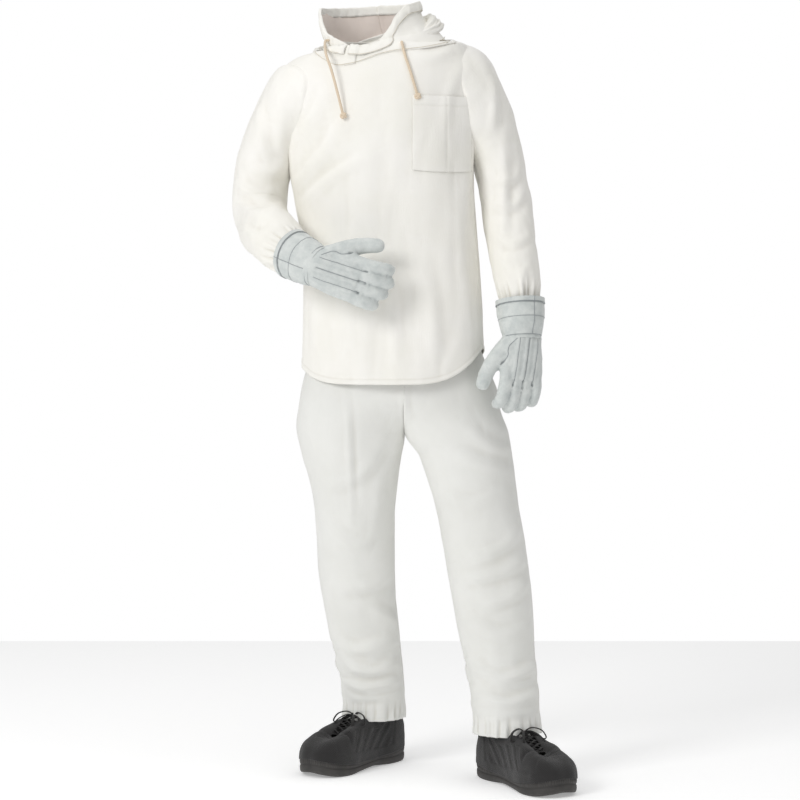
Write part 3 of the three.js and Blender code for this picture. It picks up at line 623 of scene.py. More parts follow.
def column_mask(rings, first, last):
    """Faces whose column lies between two turns."""
    spot = (np.arange(rings.shape[1]) + 0.5) / rings.shape[1]
    span = (spot - first) % 1 < (last - first)
    return np.repeat(span[None], rings.shape[0] - 1, axis=0)


def line_along(rings, row, out, columns=slice(None)):
    """A route along one row of a grid, lifted off the cloth."""
    return (rings + normals(rings) * out)[row, columns]


bodice = narrow_hem(drape_bodice(between(trunk, hem_height, neck_height, 190)), 9, 0.9)
front_half, back_half = column_mask(bodice, 0.5, 1), column_mask(bodice, 0, 0.5)
smock_front = cloth_piece("smock_front_panel", bodice, (SMOCK_CLOTH,), front_half, body="smock", held="hung")
smock_back = cloth_piece("smock_back_panel", bodice, (SMOCK_CLOTH,), back_half, body="smock", held="hung")
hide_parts("smock_front")
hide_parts("smock_back")


def surface_finder(obj):
    """Finds the first surface straight behind a point of the front elevation, in pattern millimetres."""
    bm = bmesh.new()
    bm.from_mesh(obj.data)
    tree = BVHTree.FromBMesh(bm)
    bm.free()

    def find(x, z, out=0.0):
        hit, normal, _, _ = tree.ray_cast(mm(x, -600, z), Vector((0, 1, 0)))
        if hit is None:
            return None
        return np.array(hit) * 1000 - PATTERN_ORIGIN + np.array(normal) * out

    return find


on_smock = surface_finder(smock_front)


def hood_half(name, first, last, lifted, low_tuck):
    rings = between(trunk, neck_height - low_tuck, rim_height, 64)
    out = normals(rings)
    share = np.linspace(0, 1, 64)[:, None]
    lift = lifted + 2.6 * rumple(rings, (46, 46, 60), 41) * np.sin(math.pi * share)
    lift = lift + 3.5 * share**2 * smoothstep(np.abs(from_notch), 0.03, 0.2)
    rings = rings + out * lift[:, :, None]
    shown = column_mask(rings, first, last)
    # The inside of the hood takes the cloth in painted shade.
    finishes = (SMOCK_CLOTH, LINING_IN_PAINTED_SHADE)
    half = cloth_piece(name, rings, finishes, shown, body="smock", held="draped")
    return half, rings


hood_right, right_rings = hood_half("hood_right_half", 0.25, NOTCH + 0.02, 3.4, 5)
hood_left, left_rings = hood_half("hood_left_half", NOTCH - 0.045, 1.25, 1.2, 4)
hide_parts("hood_right")
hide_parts("hood_left")


def rim_casing():
    """The drawcord's casing: the hood's edge turned over and stitched down."""
    outer = between(trunk, rim_height - 17, rim_height, 14)
    out = normals(outer)
    flare = 3.5 * smoothstep(np.abs(from_notch), 0.03, 0.2)
    side = np.where((turns > NOTCH + 0.02) | (turns < 0.25), 1.2, 3.4)
    base = flare + side
    rows = [outer[k] + out[k] * (base + 1.0 + 1.6 * math.sin(math.pi * k / 13))[:, None] for k in range(14)]
    top = outer[-1]
    for turn in np.linspace(20, 180, 9):
        angle = math.radians(turn)
        rows.append(
            top
            + out[-1] * (base - 1.8 + 2.8 * math.cos(angle))[:, None]
            + np.array((0, 0, 2.6 * math.sin(angle)))
        )
    for drop in (4, 8, 12, 16):
        rows.append(outer[-1] + out[-1] * (base - 4.6)[:, None] - np.array((0, 0, drop)))
    rings = np.array(rows)
    gather = 1.0 * rumple(rings, (9, 9, 30), 51)
    rings = rings + normals(rings) * gather[:, :, None]
    slit = column_mask(rings, NOTCH - 0.004, NOTCH + 0.004)
    casing = cloth_piece("hood_edge_casing", rings, (SMOCK_CLOTH,), ~slit, body="smock", held="gathered")
    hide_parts("hood_casing", "drawcord_run")
    first = int((NOTCH + 0.006) * AROUND)
    route = np.roll(line_along(rings, 1, 0.3), -first, axis=0)[: int(AROUND * 0.985)]
    tube_piece("hood_casing_stitch", route, 0.45, THREAD, "smock", sides=6)
    return rings


casing_rings = rim_casing()
seam = np.roll(line_along(right_rings, 3, 0.5), -int(NECK_LOW * AROUND), axis=0)
tube_piece("neck_seam_stitch", np.vstack([seam, seam[:1]]), 0.5, THREAD, "smock", sides=6)


def dropped_hood():
    """The bag of the hood bunched up behind the neck."""
    span = np.linspace(-0.1, 0.565, 150)
    ring = trunk[int(np.argmin(np.abs(trunk.mean(axis=1)[:, 2] - 1428)))]
    spot = (span % 1) * AROUND
    closed_ring = np.vstack([ring, ring[:1]])
    around = np.stack([np.interp(spot, np.arange(AROUND + 1), closed_ring[:, k]) for k in range(3)], axis=1)
    centre = ring.mean(axis=0)
    away = around - centre
    away[:, 2] = 0
    away /= np.linalg.norm(away, axis=1)[:, None]
    share = np.linspace(0, 1, 150)
    full = np.sin(math.pi * share) ** 0.45
    path = around + away * (6 + 14 * full)[:, None] + np.outer(2 + 5 * full, (0, 0, 1))
    path[:, 2] -= 12 + 24 * smoothstep(-share, -0.3, -0.02)
    path[:, 2] += 5 * lattice(np.stack([share * 7, share * 0, share * 0], axis=1), 61)
    rings = []
    for k in range(150):
        sides = np.arange(72) / 72 * 2 * math.pi
        radius = 2.2 + 19.8 * full[k]
        rings.append(
            path[k]
            + np.outer(radius * 1.05 * np.cos(sides), away[k])
            + np.outer(radius * np.sin(sides), (0, 0, 1))
        )
    rings = np.array(rings)[:, ::-1]
    out = normals(rings)
    turn = np.arange(72) / 72 * 2 * math.pi
    drift = np.stack([np.cos(turn), np.sin(turn), turn * 0], axis=1)[None] * 2.2
    drift = drift + share[:, None, None] * (0, 0, 5)
    folds = 4.5 * lattice(drift, 63) + 2.6 * lattice(drift * 2.3, 65) - 3.5 * np.abs(lattice(drift * 1.4, 67))
    rings = rings + out * (folds * full[:, None])[:, :, None]
    piece = cloth_piece(
        "dropped_hood_bag", rings, (SMOCK_CLOTH,), body="smock", held="gathered"
    )
    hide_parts("hood_roll")
    return piece


dropped_hood()

# ---------------------------------------------------------------- drawcord
CORD_THICK = 5.0


def drawcord(side, points):
    """A tail of the drawcord from its eyelet to its knot, lying on the chest."""
    rough = smooth_curve(points, 30)
    route = []
    for x, y, z in rough:
        cloth = on_smock(x, z, 0)
        least = 1e9 if cloth is None else cloth[1] - CORD_THICK / 2 - 1.2
        route.append((x, min(y, least), z))
    route = np.array(route)
    route[1:-1] = (route[:-2] + 2 * route[1:-1] + route[2:]) / 4
    far = lengths(route)[-1] / 1000
    tail = tube_piece(f"cord_tail_{side}", smooth_curve(route, 110), CORD_THICK / 2, CORD, "smock", 12)
    end, before = route[-1], route[-2]
    down = (end - before) / np.linalg.norm(end - before)
    sweep = np.linspace(0, 2 * math.pi * 1.55, 60)
    across = np.cross(down, (0, -1, 0))
    across /= np.linalg.norm(across)
    deep = np.cross(across, down)
    coil = np.array(
        [
            end
            + down * (3.2 + 2.6 * math.sin(1.5 * t))
            + across * 3.6 * math.cos(t)
            + deep * (2.2 * math.sin(t) + 0.4)
            for t in sweep
        ]
    )
    knot = tube_piece(f"cord_knot_{side}", coil, 2.9, CORD, "smock", 12)
    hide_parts(f"drawcord_knot_{side}")
    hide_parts(f"drawcord_tail_{side}")
    tuple(metres(route[0]))
    [tuple(p) for p in metres(smooth_curve(route, 60))]
    return far


on_hood = surface_finder(hood_left)


def eyelet(turn):
    """Where the drawcord leaves the casing, and which way is out."""
    column = int(turn * AROUND)
    return casing_rings[8, column], normals(casing_rings)[8, column]


right_eye, right_out = eyelet(0.607)
left_eye = on_hood(3, 1404)
left_out = np.array((0.1, -1, 0))
right_tail = [
    right_eye,
    right_eye + right_out * 9 + (0, 0, -3),
    (-138, -88, 1382),
    (-127, -105, 1349),
    (-115, -110, 1304),
    (-106, -112, 1268),
]
left_tail = [
    left_eye,
    left_eye + left_out * 8 + (0, 0, -2),
    (9, -97, 1380),
    (18, -104, 1352),
    (27, -110, 1322),
    (32, -112, 1304),
]
drawcord("right", right_tail)
drawcord("left", left_tail)

# ---------------------------------------------------------------- chest pocket
POCKET = (23, 134, 1164, 1303)  # left, right, bottom and top, on the wearer's left
PEN_SLOT = 87


def chest_pocket():
    left, right, low, high = POCKET
    rings = []
    for j, z in enumerate(np.linspace(low, high, 74)):
        row = []
        for i, x in enumerate(np.linspace(left, right, 60)):
            sag = -3 * math.sin(math.pi * i / 59) * (1 - j / 73)
            edge = min(i, 59 - i, j) / 3
            puff = 1.2 + 0.6 * min(1, edge) * (0.6 + 0.4 * math.sin(math.pi * j / 73))
            band = 0.9 if z > high - 16 else 0
            row.append(on_smock(x, z + sag, 0) - np.array((0, puff + band, 0)))
        rings.append(row)
    rings = np.array(rings)
    slot = np.exp(-(((rings[:, :, 0] - PEN_SLOT) / 2.2) ** 2))
    rings[:, :, 1] += 0.9 * slot
    piece = cloth_piece(
        "chest_pocket_patch", rings[::-1], (SMOCK_CLOTH,), closed=False, thick=1.1, body="smock", held="stretched"
    )
    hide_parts("chest_pocket")
    for name, line in (
        ("left", rings[:, 2]),
        ("right", rings[:, -3]),
        ("bottom", rings[2]),
        ("band", rings[-9]),
        ("slot_left", rings[:, 33]),
        ("slot_right", rings[:, 36]),
    ):
        tube_piece(f"pocket_stitch_{name}", line - (0, 0.3, 0), 0.35, THREAD, "smock", sides=6)


chest_pocket()

# ---------------------------------------------------------------- sleeves
ELBOW_POINTS = {"right": (-276, 48, 1108), "left": (202, 4, 1128)}
SLEEVE_FOLDS = {
    "right": (
        (((-318, 1150), (-270, 1120), (-232, 1130)), 6, 11),
        (((-312, 1110), (-262, 1086), (-214, 1096)), 7, 11),
        (((-300, 1190), (-250, 1165), (-215, 1180)), 5, 12),
        (((-300, 1060), (-262, 1040), (-226, 1056)), 6, 10),
        (((-270, 1300), (-262, 1230), (-240, 1170)), 5, 13),
        (((-220, 1290), (-226, 1220), (-212, 1150)), 4, 12),
    ),
    "left": (
        (((192, 1240), (196, 1140), (192, 1040)), 5, 11),
        (((170, 1350), (176, 1290), (170, 1220)), 4, 11),
        (((238, 1130), (210, 1100), (172, 1104)), 4, 10),
        (((246, 1050), (218, 1030), (180, 1036)), 3.5, 9),
        (((225, 1180), (214, 1150), (180, 1150)), 3.5, 9),
        (((232, 990), (226, 950), (222, 925)), 3, 9),
    ),
}


def gathers(rings, start, deep, count, seed):
    """Pleats that run into an elastic, over the last stretch of a tube."""
    columns = rings.shape[1]
    far = lengths(rings.mean(axis=1))
    near_end = smoothstep(far, far[-1] - start, far[-1] - 0.15 * start)[:, None]
    turn = np.arange(columns) / columns * 2 * math.pi
    wander = lattice(np.stack([np.cos(turn) * 2, np.sin(turn) * 2, turn * 0], axis=-1), seed)
    pleat = np.sin(count * turn + 2.2 * wander) + 0.5 * np.sin(1.7 * count * turn + 5 * wander + seed)
    spots = np.broadcast_arrays(far[:, None] / 40, np.cos(turn)[None] * 3, np.sin(turn)[None] * 3)
    drift = lattice(np.stack(spots, axis=-1), seed + 4)
    return rings + normals(rings) * (deep * near_end * (pleat + drift))[:, :, None]


def soften_bend(rings, bend, reach_mm):
    """Rounds off the folds where a tube turns sharply, by averaging along its length."""
    far = lengths(rings.mean(axis=1))
    away = np.linalg.norm(rings.mean(axis=1) - bend, axis=1)
    share = smoothstep(-away, -reach_mm, -0.45 * reach_mm)[:, None, None]
    weight = np.exp(-0.5 * ((far[:, None] - far[None]) / 15) ** 2)
    weight /= weight.sum(axis=1)[:, None]
    return rings + (np.einsum("ij,jkl->ikl", weight, rings) - rings) * share


def from_trunk(points):
    """Distance from each point to the side of the smock's body."""
    table = np.array(TORSO, float)
    z = points[..., 2]
    x, y, wide, deep = (np.interp(z, table[:, 2], table[:, k]) for k in (0, 1, 3, 4))
    away = points[..., :2] - np.stack([x, y], axis=-1)
    along = away @ np.array(chest[:2])
    square = away @ np.array((-chest[1], chest[0]))
    share = np.sqrt((along / wide) ** 2 + (square / deep) ** 2)
    return (1 - 1 / np.maximum(share, 0.05)) * np.hypot(along, square)


def inside_trunk(points, margin):
    """Whether each point lies deeper than the margin inside the smock's body."""
    table = np.array(TORSO, float)
    z = points[..., 2]
    centre = np.stack([np.interp(z, table[:, 2], table[:, k]) for k in range(2)], axis=-1)
    wide = np.interp(z, table[:, 2], table[:, 3]) + margin
    deep = np.interp(z, table[:, 2], table[:, 4]) + margin
    away = points[..., :2] - centre
    along = away @ np.array(chest[:2])
    square = away @ np.array((-chest[1], chest[0]))
    return (along / wide) ** 2 + (square / deep) ** 2 < 1


def make_sleeve(side):
    """One sleeve from its armhole to the elastic at the wrist."""
    rings = soften_bend(tube(SLEEVES[side], 128, 210), np.array(ELBOW_POINTS[side], float), 130)
    out = normals(rings)
    lift = 3.0 * rumple(rings, (60, 60, 120), 21) + 1.4 * rumple(rings, (24, 24, 40), 29)
    for route, height, width in SLEEVE_FOLDS[side]:
        lift += crease(rings, out, route, height, width)
    lift += bridge(from_trunk(rings), rings[:, :, 2])
    rings = gathers(rings + out * lift[:, :, None], 66, 2.3, 17, 5)
    # What would lie inside the body of the smock is cut away at the armhole.
    inside = inside_trunk(rings, -5)
    around = np.roll(inside, -1, axis=1)
    keep = ~(inside[:-1] & inside[1:] & around[:-1] & around[1:])
    sleeve = cloth_piece(f"sleeve_{side}", rings, (SMOCK_CLOTH,), keep, held="hung")
    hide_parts(f"sleeve_{side}_upper", f"sleeve_{side}_lower")
    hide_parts(f"cuff_casing_{side}", f"cuff_elastic_{side}")
    elbow = np.array(ELBOW_POINTS[side], float)
    stations = np.array([s[:3] for s in SLEEVES[side]], float)
    nearest = int(np.argmin(np.linalg.norm(stations - elbow, axis=1)))
    up = elbow + 0.6 * (stations[nearest - 1] - elbow)
    down = elbow + 0.8 * (stations[nearest + 1] - elbow)
    tuple(metres(up))
    tuple(metres(down))
    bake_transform(sleeve)
    return sleeve


for side in ("right", "left"):
    make_sleeve(side)

# ---------------------------------------------------------------- trousers
HIPS = [
    (0, 2, 640, 186, 102),
    (-1, 2, 740, 187, 108),
    (-7, 2, 800, 170, 109),
    (-16, 2, 840, 165, 110),
    (-15, 2, 930, 152, 104),
    (-15, 2, 985, 146, 100),
]
LEGS = {
    "right": [
        (-52, 158, 104, 62, 64),
        (-52, 157, 150, 62, 63),
        (-66, 130, 250, 68, 66),
        (-82, 90, 380, 72, 72),
        (-87, 44, 540, 79, 84),
        (-92, 14, 680, 103, 94),
        (-86, 10, 760, 104, 98),
        (-72, 10, 840, 92, 98),
        (-66, 6, 985, 88, 98),
    ],
    "left": [
        (202, -22, 104, 64, 64),
        (200, -21, 150, 64, 63),
        (186, -14, 260, 70, 68),
        (168, -14, 400, 78, 74),
        (144, -10, 540, 80, 82),
        (110, -6, 680, 92, 92),
        (84, -12, 750, 90, 92),
        (60, -20, 815, 83, 88),
        (46, -10, 985, 80, 96),
    ],
}
CENTRE_SEAM = 8
CROTCH = 676
SEAM_LAP = 1.2  # how far each half of the trousers runs past the centre seam
LEG_FOLDS = {
    "right": (
        (((-152, 300), (-100, 250), (-20, 262)), 7, 13),
        (((-130, 240), (-60, 205), (0, 226)), 8, 12),
        (((-126, 190), (-70, 172), (6, 186)), 6, 10),
        (((-60, 340), (-10, 300), (4, 250)), 5, 12),
        (((-160, 520), (-110, 470), (-50, 450)), 4, 14),
        (((-100, 760), (-94, 620), (-92, 500)), 3, 7),
        (((-30, 660), (-70, 600), (-140, 570)), 4, 14),
        (((-10, 640), (-40, 560), (-50, 480)), 3.5, 13),
        (((0, 420), (-50, 380), (-130, 370)), 4.5, 14),
    ),
    "left": (
        (((120, 690), (170, 650), (214, 640)), 5, 13),
        (((96, 640), (150, 620), (210, 600)), 5, 13),
        (((70, 560), (130, 545), (190, 560)), 3.5, 12),
        (((230, 500), (190, 462), (120, 440)), 6, 13),
        (((246, 440), (190, 415), (110, 400)), 6, 12),
        (((250, 400), (210, 370), (150, 350)), 5, 12),
        (((120, 330), (180, 300), (250, 310)), 5, 13),
        (((130, 240), (190, 215), (262, 235)), 8, 12),
        (((140, 190), (200, 172), (268, 188)), 6, 10),
    ),
}


def reach(stations, z, turn):
    """The distance from a tube's axis to its side at a height, and that axis, for stations stacked upwards."""
    rows = smooth_curve(stations, 200)
    x, y, wide, deep = (np.interp(z, rows[:, 2], rows[:, k]) for k in (0, 1, 3, 4))
    return x, y, wide, deep


def leg_rings(side):
    """One half of the trousers: a leg that grows into half of the hips above the crotch."""
    low, high = 106, 985
    heights = np.concatenate([np.linspace(low, 300, 70), np.linspace(302.8, high, 230)])
    turn = np.arange(168) / 168 * 2 * math.pi
    sign = -1 if side == "right" else 1
    seam_x = CENTRE_SEAM - sign * SEAM_LAP
    rings = np.empty((len(heights), 168, 3))
    for j, z in enumerate(heights):
        x, y, wide, deep = reach(LEGS[side], z, turn)
        leg = np.stack([x + wide * np.cos(turn), y + deep * np.sin(turn)], axis=1)
        hx, hy, hw, hd = reach(HIPS, max(z, 640), turn)
        away = np.stack([np.cos(turn), np.sin(turn)], axis=1)
        # Where the ray from the leg's middle meets the outline of the hips.
        a = (away[:, 0] / hw) ** 2 + (away[:, 1] / hd) ** 2
        b = (x - hx) * away[:, 0] / hw**2 + (y - hy) * away[:, 1] / hd**2
        c = ((x - hx) / hw) ** 2 + ((y - hy) / hd) ** 2 - 1
        hip = np.array((x, y)) + away * ((-b + np.sqrt(np.maximum(b * b - a * c, 1e-9))) / a)[:, None]
        share = smoothstep(z, CROTCH - 6, CROTCH + 74)
        spot = leg + (hip - leg) * share
        inner = sign * (spot[:, 0] - seam_x) < 0
        inwards = np.clip(-sign * np.cos(turn), 0, 1) ** 2
        spot[:, 0] += (seam_x - spot[:, 0]) * inwards * smoothstep(z, CROTCH - 50, CROTCH + 6) * ~inner
        spot[inner, 0] = seam_x
        rings[j, :, :2] = spot
        rings[j, :, 2] = z
    return rings


def make_leg(side):
    rings = leg_rings(side)
    out = normals(rings)
    z = rings[:, :, 2]
    seam_x = CENTRE_SEAM + (SEAM_LAP if side == "right" else -SEAM_LAP)
    free = smoothstep(np.abs(rings[:, :, 0] - seam_x), 0.5, 16)
    lift = 2.6 * rumple(rings, (90, 90, 240), 71) + 1.1 * rumple(rings, (32, 32, 60), 79)
    lift += 3.4 * rumple(rings, (70, 70, 26), 83) * smoothstep(z, 300, 200) * smoothstep(z, 118, 150)
    for route, height, width in LEG_FOLDS[side]:
        lift += crease(rings, out, route, height, width)
        mirrored = tuple((x + (12 if side == "right" else -12), height_ + 21) for x, height_ in route)
        lift += crease(rings, out, mirrored, 0.8 * height, 1.1 * width, face=(0, 1, 0))
    rings = rings + out * (lift * free)[:, :, None]
    rings = gathers(rings[::-1], 46, 1.9, 21, 9)[::-1]
    seam = np.abs(rings[:, :, 0] - seam_x) < 0.5
    joined = seam & (z > CROTCH)
    around = np.roll(joined, -1, axis=1)
    keep = ~(joined[:-1] & joined[1:] & around[:-1] & around[1:])
    for half, first, last in (("front", 0.5, 1), ("back", 0, 0.5)):
        shown = keep & column_mask(rings, first, last)
        name = f"trouser_{half}_{side}_panel"
        piece = cloth_piece(name, rings, (TROUSER_CLOTH,), shown, body="trousers", held="hung")
        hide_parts(f"trouser_{half}_{side}")
        if half == "front":
            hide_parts(f"ankle_casing_{side}", f"ankle_elastic_{side}")
    return rings


for side in ("right", "left"):
    make_leg(side)


def waistband():
    """The elastic casing at the waist, gathered."""
    turn = np.arange(320) / 320 * 2 * math.pi
    rings = []
    for z in np.linspace(952, 990, 16):
        x, y, wide, deep = reach(HIPS, min(z, 985), turn)
        wide, deep = wide + 1.4, deep + 1.4
        rings.append(np.stack([x + wide * np.cos(turn), y + deep * np.sin(turn), turn * 0 + z], axis=1))
    rings = np.array(rings)
    wander = lattice(np.stack([np.cos(turn) * 3, np.sin(turn) * 3, turn * 0], axis=-1), 91)
    pleat = 1.3 * np.sin(46 * turn + 3 * wander)
    rings = rings + normals(rings) * pleat[None, :, None]
    piece = cloth_piece(
        "gathered_waistband", rings, (TROUSER_CLOTH,), thick=2.2, body="trousers", held="gathered"
    )
    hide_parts("waistband", "waist_elastic")


waistband()

# ---------------------------------------------------------------- gloves
HANDS = {
    "right": {"ahead": (0.92, -0.14, -0.32), "thumb_side": (0.3, -0.1, 0.95), "flip": -1},
    "left": {"ahead": (-0.06, -0.1, -1), "thumb_side": (-0.88, -0.47, 0.06), "flip": 1},
}
WRISTS = {
    "right": {"sleeve_end": (-184, -142, 1001), "ahead": (0.69168, -0.63402, -0.34582)},
    "left": {"sleeve_end": (227, -63, 900), "ahead": (0.06131, -0.18392, -0.98103)},
}
CUFF_START = -22  # the cuff covers this much of the sleeve
CUFF_END = 48.4
PALM = 74
FINGERS = ((31, 64), (10.5, 70), (-10, 66), (-30, 54))  # place across the palm, and length
FINGER_R = 12.5


def unit(v):
    v = np.asarray(v, float)
    return v / np.linalg.norm(v)


def digit(stations, rounded):
    """A finger's rings, closed by a round tip."""
    rings = tube(stations, 28, 40, wide=(1, 0, 0))
    centre, last = rings[-1].mean(axis=0), rings[-1]
    forward = unit(centre - rings[-2].mean(axis=0))
    tip = []
    for a in np.radians((20, 40, 58, 74, 86)):
        tip.append(centre + (last - centre) * math.cos(a) + forward * rounded * math.sin(a))
    return np.vstack([rings, tip])


def closed_tube(bm, rings):
    loops = [[bm.verts.new(p) for p in ring] for ring in rings]
    count = len(rings[0])
    for a, b in zip(loops, loops[1:]):
        for i in range(count):
            bm.faces.new((a[i], a[(i + 1) % count], b[(i + 1) % count], b[i]))
    bm.faces.new(loops[0][::-1])
    bm.faces.new(loops[-1])


def hand_body(name, places):
    """Palm, fingers and thumb melted together into one padded skin, in the hand's own frame."""
    bm = bmesh.new()
    palm = [
        (0, 0, -22, 34, 25),
        (0, 0, -4, 37, 25.5),
        (0, 0, 12, 39, 24.5),
        (0, 0, 34, 42, 22),
        (0, 0, 58, 43, 18),
        (0, 1, PALM + 4, 41, 14),
    ]
    closed_tube(bm, tube(palm, 56, 30, wide=(1, 0, 0)))
    for across, length in FINGERS:
        spread = across * 0.12
        bone = [
            (across, 0, PALM - 26, FINGER_R, FINGER_R),
            (across + spread * 0.5, 2, PALM + length * 0.35, FINGER_R, FINGER_R * 0.96),
            (across + spread, 12, PALM + length * 0.75, FINGER_R * 0.96, FINGER_R * 0.92),
            (across + spread, 23, PALM + length - FINGER_R, FINGER_R * 0.88, FINGER_R * 0.82),
        ]
        closed_tube(bm, digit(bone, FINGER_R * 0.85))
    thumb = [
        (24, 4, 12, 20, 20),
        (40, 9, 32, 18.5, 18),
        (56, 14, 54, 16, 15.5),
        (66, 17, 76, 14.5, 14),
        (71, 17.5, 91, 13, 12.5),
    ]
    closed_tube(bm, digit(thumb, 12.5))
    mesh = bpy.data.meshes.new(name)
    bm.to_mesh(mesh)
    bm.free()
    obj = bpy.data.objects.new(name, mesh)
    bpy.context.collection.objects.link(obj)
    select(obj)
    skin = obj.modifiers.new("skin", "REMESH")
    skin.mode = "VOXEL"
    skin.voxel_size = 2.3
    bpy.ops.object.modifier_apply(modifier=skin.name)
    soft = obj.modifiers.new("soft", "SMOOTH")
    soft.factor = 0.5
    soft.iterations = 5
    bpy.ops.object.modifier_apply(modifier=soft.name)
    sew(obj, places)
    return obj


# Seams of the hand in its own frame: up the back to each finger's root, round the thumb and along both edges.
HAND_SEAMS = (
    ((20, -26, 2), (20.5, -22, 44), (20.5, -15, 86), (21, -8, 104)),
    ((0, -27, 2), (0, -23, 44), (0, -16, 86), (0, -8, 108)),
    ((-20, -26, 2), (-20, -22, 44), (-20, -15, 86), (-21, -8, 100)),
    ((26, -24, 4), (38, -17, 22), (40, -14, 44), (44, 2, 62), (32, 18, 52), (14, 24, 22)),
    ((-40, 0, 0), (-44, 0, 40), (-43, 0, 78), (-46, 6, 112), (-46, 20, 132)),
    ((-30, -26, 96), (-10, -26, 102), (10, -26, 102), (31, -26, 96)),
)
SEAM_SCALE = (1, 1, 0.88)  # the routes above are drawn on a longer hand


def sew(obj, places):
    """Seams pulled in and the leather puckered along them, then the hand put in its place."""
    mesh = obj.data
    count = len(mesh.vertices)
    points = np.empty(count * 3)
    mesh.vertices.foreach_get("co", points)
    points = points.reshape(-1, 3)
    out = np.empty(count * 3)
    mesh.vertices.foreach_get("normal", out)
    out = out.reshape(-1, 3)
    lift = 0.9 * rumple(points, (22, 22, 30), 131) + 0.5 * rumple(points, (9, 9, 12), 137)
    for route in HAND_SEAMS:
        line = smooth_curve(route, 60) * SEAM_SCALE
        away = np.linalg.norm(points[:, None] - line[None], axis=2).min(axis=1)
        lift += 1.5 * np.exp(-(((away - 4.5) / 2.6) ** 2)) - 1.9 * np.exp(-((away / 1.9) ** 2))
    for height in (PALM + 30, PALM + 48):
        lift -= 0.8 * np.exp(-(((points[:, 2] - height - 0.15 * points[:, 0]) / 1.8) ** 2)) * (points[:, 1] > 4)
    points = points + out * lift[:, None]
    mesh.vertices.foreach_set("co", metres(places(points)).ravel())
    mesh.update()


def make_glove(side):
    hand, wrist = HANDS[side], WRISTS[side]
    forward = unit(wrist["ahead"])
    end = np.array(wrist["sleeve_end"], float)
    start, root = end + forward * CUFF_START, end + forward * CUFF_END
    up = unit(hand["ahead"])
    deep = unit(np.cross(up, hand["thumb_side"]))
    axes = np.array((np.cross(deep, up), deep * hand["flip"], up))

    def places(points):
        return root + points @ axes

    body = hand_body(f"glove_{side}_hand_skin", places)
    if hand["flip"] < 0:
        select(body)
        bpy.ops.object.mode_set(mode="EDIT")
        bpy.ops.mesh.select_all(action="SELECT")
        bpy.ops.mesh.normals_make_consistent(inside=False)
        bpy.ops.object.mode_set(mode="OBJECT")
    finish_with(body, SUEDE)
    select(body)
    bpy.ops.object.shade_smooth()
    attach(body, f"glove_{side}")
    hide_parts(f"glove_{side}_hand", f"glove_{side}_thumb")
    finder = BVHTree.FromObject(body, bpy.context.evaluated_depsgraph_get())
    for number, route in enumerate(HAND_SEAMS[:5]):
        line = []
        for point in metres(places(smooth_curve(route, 70) * SEAM_SCALE)):
            near, normal, _, _ = finder.find_nearest(Vector(point))
            line.append(np.array(near + normal * 0.0001) * 1000 - PATTERN_ORIGIN)
        line = np.array(line)
        line[1:-1] = (line[:-2] + line[1:-1] + line[2:]) / 3
        tube_piece(f"glove_{side}_seam_{number}", line, 0.6, GLOVE_THREAD, f"glove_{side}", sides=6)
    span = root - start
    stations = [
        (*(start - span * 0.02), 46.5, 45.5),
        (*(start + span * 0.3), 45, 43.5),
        (*(start + span * 0.65), 43, 39),
        (*(start + span * 0.9), 39.5, 32),
        (*(start + span * 1.06), 38, 28.5),
    ]
    rings = tube(stations, 130, 70, wide=hand["thumb_side"])
    far = lengths(rings.mean(axis=1))[:, None]
    out = normals(rings)
    lift = 1.3 * rumple(rings, (30, 30, 30), 141) + 0.5 * rumple(rings, (11, 11, 11), 143)
    lift = lift + 0.9 * (far < 9) - 1.1 * np.exp(-(((far - 10.5) / 1.5) ** 2))
    lift = lift - 1.4 * np.exp(-(((far - far[-1] + 5) / 2.2) ** 2))
    rings = rings + out * lift[:, :, None]
    cuff = cloth_piece(f"glove_{side}_gauntlet", rings, (SUEDE,), thick=2, body=f"glove_{side}", held="hung")
    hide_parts(f"glove_{side}_cuff")
    for row in (8, 9, 33, 63):
        line = line_along(rings, row, 0.15)
        line = np.vstack([line, line[:1]])
        tube_piece(f"glove_{side}_cuff_stitch_{row}", line, 0.5, GLOVE_THREAD, f"glove_{side}", sides=6)
    for column in (38, 96):
        line = (rings + out * 0.2)[1:64, column]
        tube_piece(f"glove_{side}_cuff_seam_{column}", line, 0.6, GLOVE_THREAD, f"glove_{side}", sides=6)


for side in ("right", "left"):
    make_glove(side)

# ---------------------------------------------------------------- shoes
SHOES = {"right": ((-52, 158, 15), 38), "left": ((202, -22, 15), -30)}
SHOE_LENGTH = 264
SHOE_BALL = 50
ANKLE_Y = -62
# Half of the sole's outline from heel to toe, with the height of its lower and upper edges there.
SOLE = (
    (0, -0.5, 1, 37),
    (0.56, -0.47, 0.5, 35),
    (0.74, -0.32, 0, 29),
    (0.7, -0.12, 4, 25),
    (0.84, 0.08, 2, 24),
    (1, 0.25, 0, 27),
    (0.9, 0.4, 2, 33),
    (0.46, 0.49, 7, 39),
    (0, 0.5, 9, 41),
)
# The edge of the shoe's mouth and throat, matched to the outline, with how upright the side below it is.
MOUTH = (
    (0, -118, 110, 0.6),
    (22, -108, 101, 0.6),
    (31, -82, 90, 0.7),
    (32, -46, 87, 0.75),
    (25, -14, 93, 0.8),
    (17, 12, 87, 0.9),
    (14, 36, 77, 1.0),
    (11, 56, 67, 1.05),
    (0, 65, 63, 1.05),
)
RIM_POINTS = 240


def both_sides(rows):
    """A closed smooth line through a half and its mirror image."""
    rows = np.array(rows, float)
    mirrored = rows[1:-1][::-1] * ([-1] + [1] * (rows.shape[1] - 1))
    ring = np.vstack([rows, mirrored])
    ring = np.vstack([ring[-2:], ring, ring[:3]])
    line = smooth_curve(ring, (len(ring) - 1) * 40 + 1)
    count = (len(rows) * 2 - 2) * 40
    line = line[80 : 80 + count]
    return line[np.linspace(0, count, RIM_POINTS, endpoint=False).astype(int)]


